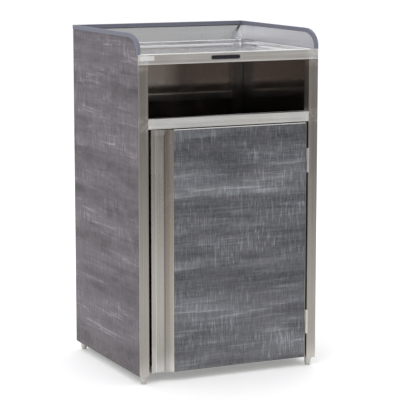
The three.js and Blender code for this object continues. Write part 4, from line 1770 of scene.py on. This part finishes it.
# ---- Feet ----
@dataclass
class Feet:
    """Four levelling feet, each screwed into a socket in its post."""

    clearance: float = 0.3 * MM
    stem: float = 4 * MM
    shoulder: float = 11.5 * MM
    plug: float = 17.3 * MM
    tube_wall: float = 1.9 * MM
    front_of_stem: float = 15.1 * MM
    behind_stem: float = 14.1 * MM
    tip_height: float = 9 * MM
    pitch: float = 1.25 * MM
    thread: float = 0.45 * MM

    def build(self) -> None:
        """Builds the feet and their sockets."""
        for row in Row:
            for side in Side:
                self.socket(row, side)
                self.foot(f"foot_{row.value}_{side.word}")

    def plug_outline(self, row: Row, side: Side) -> Loop:
        """The outline of a socket's plug, which fills the inside of its post's tube.

        Args:
            row: its row.
            side: its side of the cabinet.

        Returns:
            The closed outline.
        """
        near, far = side_limits(f"{row.value}_post_{side.word}")
        if row is Row.FRONT:
            far = side_limits(f"side_panel_{side.word}")[0] - self.clearance
            stem = middle(f"foot_{row.value}_{side.word}")[1]
            front, back = stem - self.front_of_stem, stem + self.behind_stem
        else:
            low, high = span(f"rear_post_{side.word}")
            front, back = low.y + self.tube_wall, high.y - self.tube_wall
        left, right = sorted((side.value * (near + self.tube_wall),
                              side.value * (far - self.tube_wall)))
        return rounded(rectangle((left, front), (right, back)), 1.0 * MM)

    def socket(self, row: Row, side: Side) -> None:
        """Builds a socket: a round collar under the post and the plug inside it.

        Args:
            row: its row.
            side: its side of the cabinet.
        """
        node = f"foot_socket_{row.value}_{side.word}"
        low, high = span(node)
        x, y, _ = middle(f"foot_{row.value}_{side.word}")
        bore = self.stem + self.clearance
        plug_z = high.z - self.plug
        mesh = bmesh.new()
        turned(mesh, collar(bore, self.shoulder, low.z, plug_z, 0.8 * MM), (x, y, 0.0))
        plate(mesh, self.plug_outline(row, side), Plane.XY, (plug_z - 1.0 * MM, high.z),
              [circle((x, y), bore)], chamfer=0.5 * MM)
        SHOP.piece(node, "turned", mesh, FOOT_STEEL)

    def foot(self, node: str) -> None:
        """Builds a bullet foot with its groove and threaded stem.

        Args:
            node: the frame's node.
        """
        low, high = span(node)
        x, y, _ = middle(node)
        tip, top = (high.x - low.x) / 2, low.z + self.tip_height
        profile = [(0.0, low.z), (tip - 2.2 * MM, low.z), (tip - 1.0 * MM, low.z + 0.5 * MM),
                   (tip - 0.3 * MM, low.z + 1.3 * MM), (tip, low.z + 2.6 * MM),
                   (tip, top - 2.4 * MM), (tip - 0.6 * MM, top - 2.1 * MM),
                   (tip - 0.6 * MM, top - 1.5 * MM), (tip, top - 1.2 * MM),
                   (tip, top - 0.4 * MM), (tip - 0.4 * MM, top), (self.stem, top)]
        z = top + 0.6 * MM
        while z + self.pitch < high.z - 1.5 * MM:
            profile += [(self.stem, z), (self.stem - self.thread, z + self.pitch / 2)]
            z += self.pitch
        profile += [(self.stem, z), (self.stem, high.z - 0.8 * MM),
                    (self.stem - 0.8 * MM, high.z), (0.0, high.z)]
        mesh = bmesh.new()
        turned(mesh, profile, (x, y, 0.0))
        SHOP.piece(node, "turned", mesh, FOOT_STEEL, smooth=40.0)


# ---- Bin ----
@dataclass
class InnerBin:
    """The moulded bin under the slot, and the angle that centres it."""

    wall: float = 3 * MM
    rim_height: float = 22 * MM
    rim_reach: float = 12 * MM
    shrink: float = 35 * MM
    depth_ratio: float = 0.94
    corner: float = 46 * MM

    def build(self) -> None:
        """Builds the bin and its guide."""
        self.bin()
        SHOP.softened("bin_guide", FRAME_RAIL, 0.35 * MM)

    def bin(self) -> None:
        """Builds the bin: tapered walls, pressed bands, a turned-down rim and a raised floor."""
        low, high = span("inner_bin")
        centre = middle("inner_bin")[:2]
        top_half = (high.x - low.x) / 2 - self.rim_reach
        height = high.z - low.z

        def ring(level: float, grow: float) -> list[Triple]:
            """One ring of the bin's wall at a height, grown or shrunk sideways.

            Args:
                level: its height.
                grow: how far it stands out from the wall.

            Returns:
                The ring's points.
            """
            up = (level - low.z) / height
            half = top_half - self.shrink * (1.0 - up) + grow
            radius = self.corner * (0.75 + 0.25 * up) + grow
            size = (half, half * self.depth_ratio)
            return placed(rounded_rectangle(centre, size, radius, 8), Plane.XY, level)

        rim = high.z - self.rim_height
        outside: list[tuple[float, float]] = [(low.z, -8 * MM), (low.z + 2 * MM, -3 * MM),
                                              (low.z + 8 * MM, -0.5 * MM), (low.z + 16 * MM, 0.0)]
        for share in (0.32, 0.62, 0.84):
            level = low.z + height * share
            outside += [(level, 0.0), (level + 3 * MM, -2.0 * MM), (level + 21 * MM, -2.0 * MM),
                        (level + 24 * MM, 0.0)]
        outside += [(rim - 6 * MM, 0.0), (rim, 0.3 * MM)]
        lip = [(rim, self.rim_reach - 3 * MM), (rim + 0.8 * MM, self.rim_reach - 1.2 * MM),
               (rim + 4 * MM, self.rim_reach - 0.6 * MM),
               (high.z - 4 * MM, self.rim_reach - 0.2 * MM),
               (high.z - 1.2 * MM, self.rim_reach - 1.0 * MM), (high.z, self.rim_reach - 4 * MM)]
        inside = [(high.z, 2 * MM), (high.z - 1.5 * MM, -1.5 * MM), (high.z - 6 * MM, -self.wall),
                  (low.z + 20 * MM, -self.wall), (low.z + 8 * MM, -self.wall - 4 * MM),
                  (low.z + self.wall, -self.wall - 14 * MM)]
        mesh = bmesh.new()
        loft(mesh, [ring(*spot) for spot in [*outside, *lip, *inside]])
        SHOP.piece("inner_bin", "moulded", mesh, BIN_GREY, smooth=50.0)


# ---- Studio ----
@dataclass
class Studio:
    """The pale floor, soft lights, the surroundings and the camera."""

    eye: Triple = (-2.6042, -5.60365, 1.5516)
    heading: float = 25.13
    tilt: float = 9.01
    lens: float = 158.43

    def build(self) -> None:
        """Sets up the studio."""
        self.camera()
        floor = self.flat("studio_floor", (-60.0, -60.0), (60.0, 60.0), 0.0)
        self.paint(floor, (0.92, 0.92, 0.92), 0.22)
        # A sheet seen only in reflections, whose grade paints reflected light and shade on the
        # metal.
        mat = self.flat("studio_mat", (-25.0, -40.0), (30.0, -0.5), 0.004)
        self.graded(mat)
        mat.visible_camera = False
        mat.visible_diffuse = False
        mat.visible_shadow = False
        self.surroundings()
        self.lamp("key", (-3.4, -3.0, 4.2), (0.0, 0.0, 0.6), (3.0, 2.4), 70.0)
        self.lamp("top", (1.0, 2.2, 4.5), (0.3, 0.0, 0.8), (4.0, 2.5), 60.0)
        bpy.context.scene.view_settings.view_transform = "Standard"

    def camera(self) -> None:
        """Places the camera."""
        data = bpy.data.cameras.new("studio_camera")
        data.lens = self.lens
        data.sensor_width = 36.0
        data.sensor_fit = "HORIZONTAL"
        made = bpy.data.objects.new("studio_camera", data)
        made.location = self.eye
        made.rotation_euler = (math.radians(90.0 - self.tilt), 0.0, math.radians(-self.heading))
        bpy.context.scene.collection.objects.link(made)
        bpy.context.scene.camera = made

    def flat(self, name: str, low: Point, high: Point, level: float) -> bpy.types.Object:
        """Lays a plain sheet on the ground.

        Args:
            name: its name.
            low: its lowest corner.
            high: its highest corner.
            level: its height.

        Returns:
            The new object.
        """
        material = bpy.data.materials.new(f"{name}_paint")
        material.use_nodes = True
        shader = material.node_tree.nodes["Principled BSDF"]
        shader.inputs["Roughness"].default_value = 0.9
        shader.inputs["Specular IOR Level"].default_value = 0.0
        mesh = bmesh.new()
        mesh.faces.new([mesh.verts.new(p) for p in placed(rectangle(low, high), Plane.XY, level)])
        made = new_object(name, mesh, material)
        return made

    def paint(self, sheet: bpy.types.Object, colour: Triple, glow: float) -> None:
        """Paints a sheet one pale colour, lit a little from within as a light table is.

        Args:
            sheet: the sheet.
            colour: its colour.
            glow: the strength of its own light.
        """
        shader = sheet.data.materials[0].node_tree.nodes["Principled BSDF"]
        shader.inputs["Base Color"].default_value = (*colour, 1.0)
        shader.inputs["Emission Color"].default_value = (1.0, 1.0, 1.0, 1.0)
        shader.inputs["Emission Strength"].default_value = glow

    def graded(self, sheet: bpy.types.Object) -> None:
        """Paints a sheet from pale near the object to dim and warm further off and to its left; seen
        only in reflections, it paints reflected light and shade on the metal.

        Args:
            sheet: the sheet.
        """
        tree = sheet.data.materials[0].node_tree
        bench = Bench(tree)
        place = bench.add("ShaderNodeNewGeometry").outputs["Position"]
        far = bench.add("ShaderNodeVectorMath", operation="LENGTH")
        bench.feed(far.inputs[0], place)
        away = bench.remap(far.outputs["Value"], (1.2, 5.4))
        colour = bench.blend(away, (0.68, 0.675, 0.645, 1.0), (0.275, 0.262, 0.25, 1.0))
        left = bench.remap(bench.split(place)["X"], (0.4, -2.2))
        colour = bench.blend(left, colour, (0.86, 0.76, 0.71, 1.0), "MULTIPLY")
        bench.feed(tree.nodes["Principled BSDF"].inputs["Base Color"], colour)

    def surroundings(self) -> None:
        """Lights the surroundings: white overhead and behind, dim and warm ahead."""
        world = bpy.data.worlds.new("studio_surroundings")
        world.use_nodes = True
        bpy.context.scene.world = world
        bench = Bench(world.node_tree)
        way = bench.split(bench.add("ShaderNodeTexCoord").outputs["Generated"])
        behind = bench.remap(way["Y"], (-0.35, 0.35))
        horizon = bench.blend(behind, (0.34, 0.315, 0.30, 1.0), (1.0, 1.0, 1.0, 1.0))
        up = bench.remap(way["Z"], (0.08, 0.50))
        colour = bench.blend(up, horizon, (1.0, 1.0, 1.02, 1.0))
        backdrop = world.node_tree.nodes["Background"]
        bench.feed(backdrop.inputs["Color"], colour)
        backdrop.inputs["Strength"].default_value = 0.9

    def lamp(self, name: str, spot: Triple, target: Triple, size: Point, power: float) -> None:
        """Hangs a soft rectangular light.

        Args:
            name: its name.
            spot: where it hangs.
            target: where it points.
            size: its width and height in metres.
            power: its power in watts.
        """
        data = bpy.data.lights.new(f"studio_{name}", "AREA")
        data.shape = "RECTANGLE"
        data.size, data.size_y = size
        data.energy = power
        made = bpy.data.objects.new(f"studio_{name}", data)
        made.location = spot
        direction = Vector(target) - Vector(spot)
        made.rotation_euler = direction.to_track_quat("-Z", "Y").to_euler()
        bpy.context.scene.collection.objects.link(made)


def main() -> None:
    """Builds the waste station and its studio."""
    logging.basicConfig(level=logging.INFO, format="%(name)s: %(message)s")
    Studio().build()
    FrameWork().build()
    cladding = Cladding()
    cladding.build()
    TrayTop().build(cladding)
    Door().build()
    HingeSet().build()
    Catch().build()
    Feet().build()
    InnerBin().build()
    LOG.info("made %d pieces", len(SHOP.pieces))


if __name__ == "__main__":
    main()
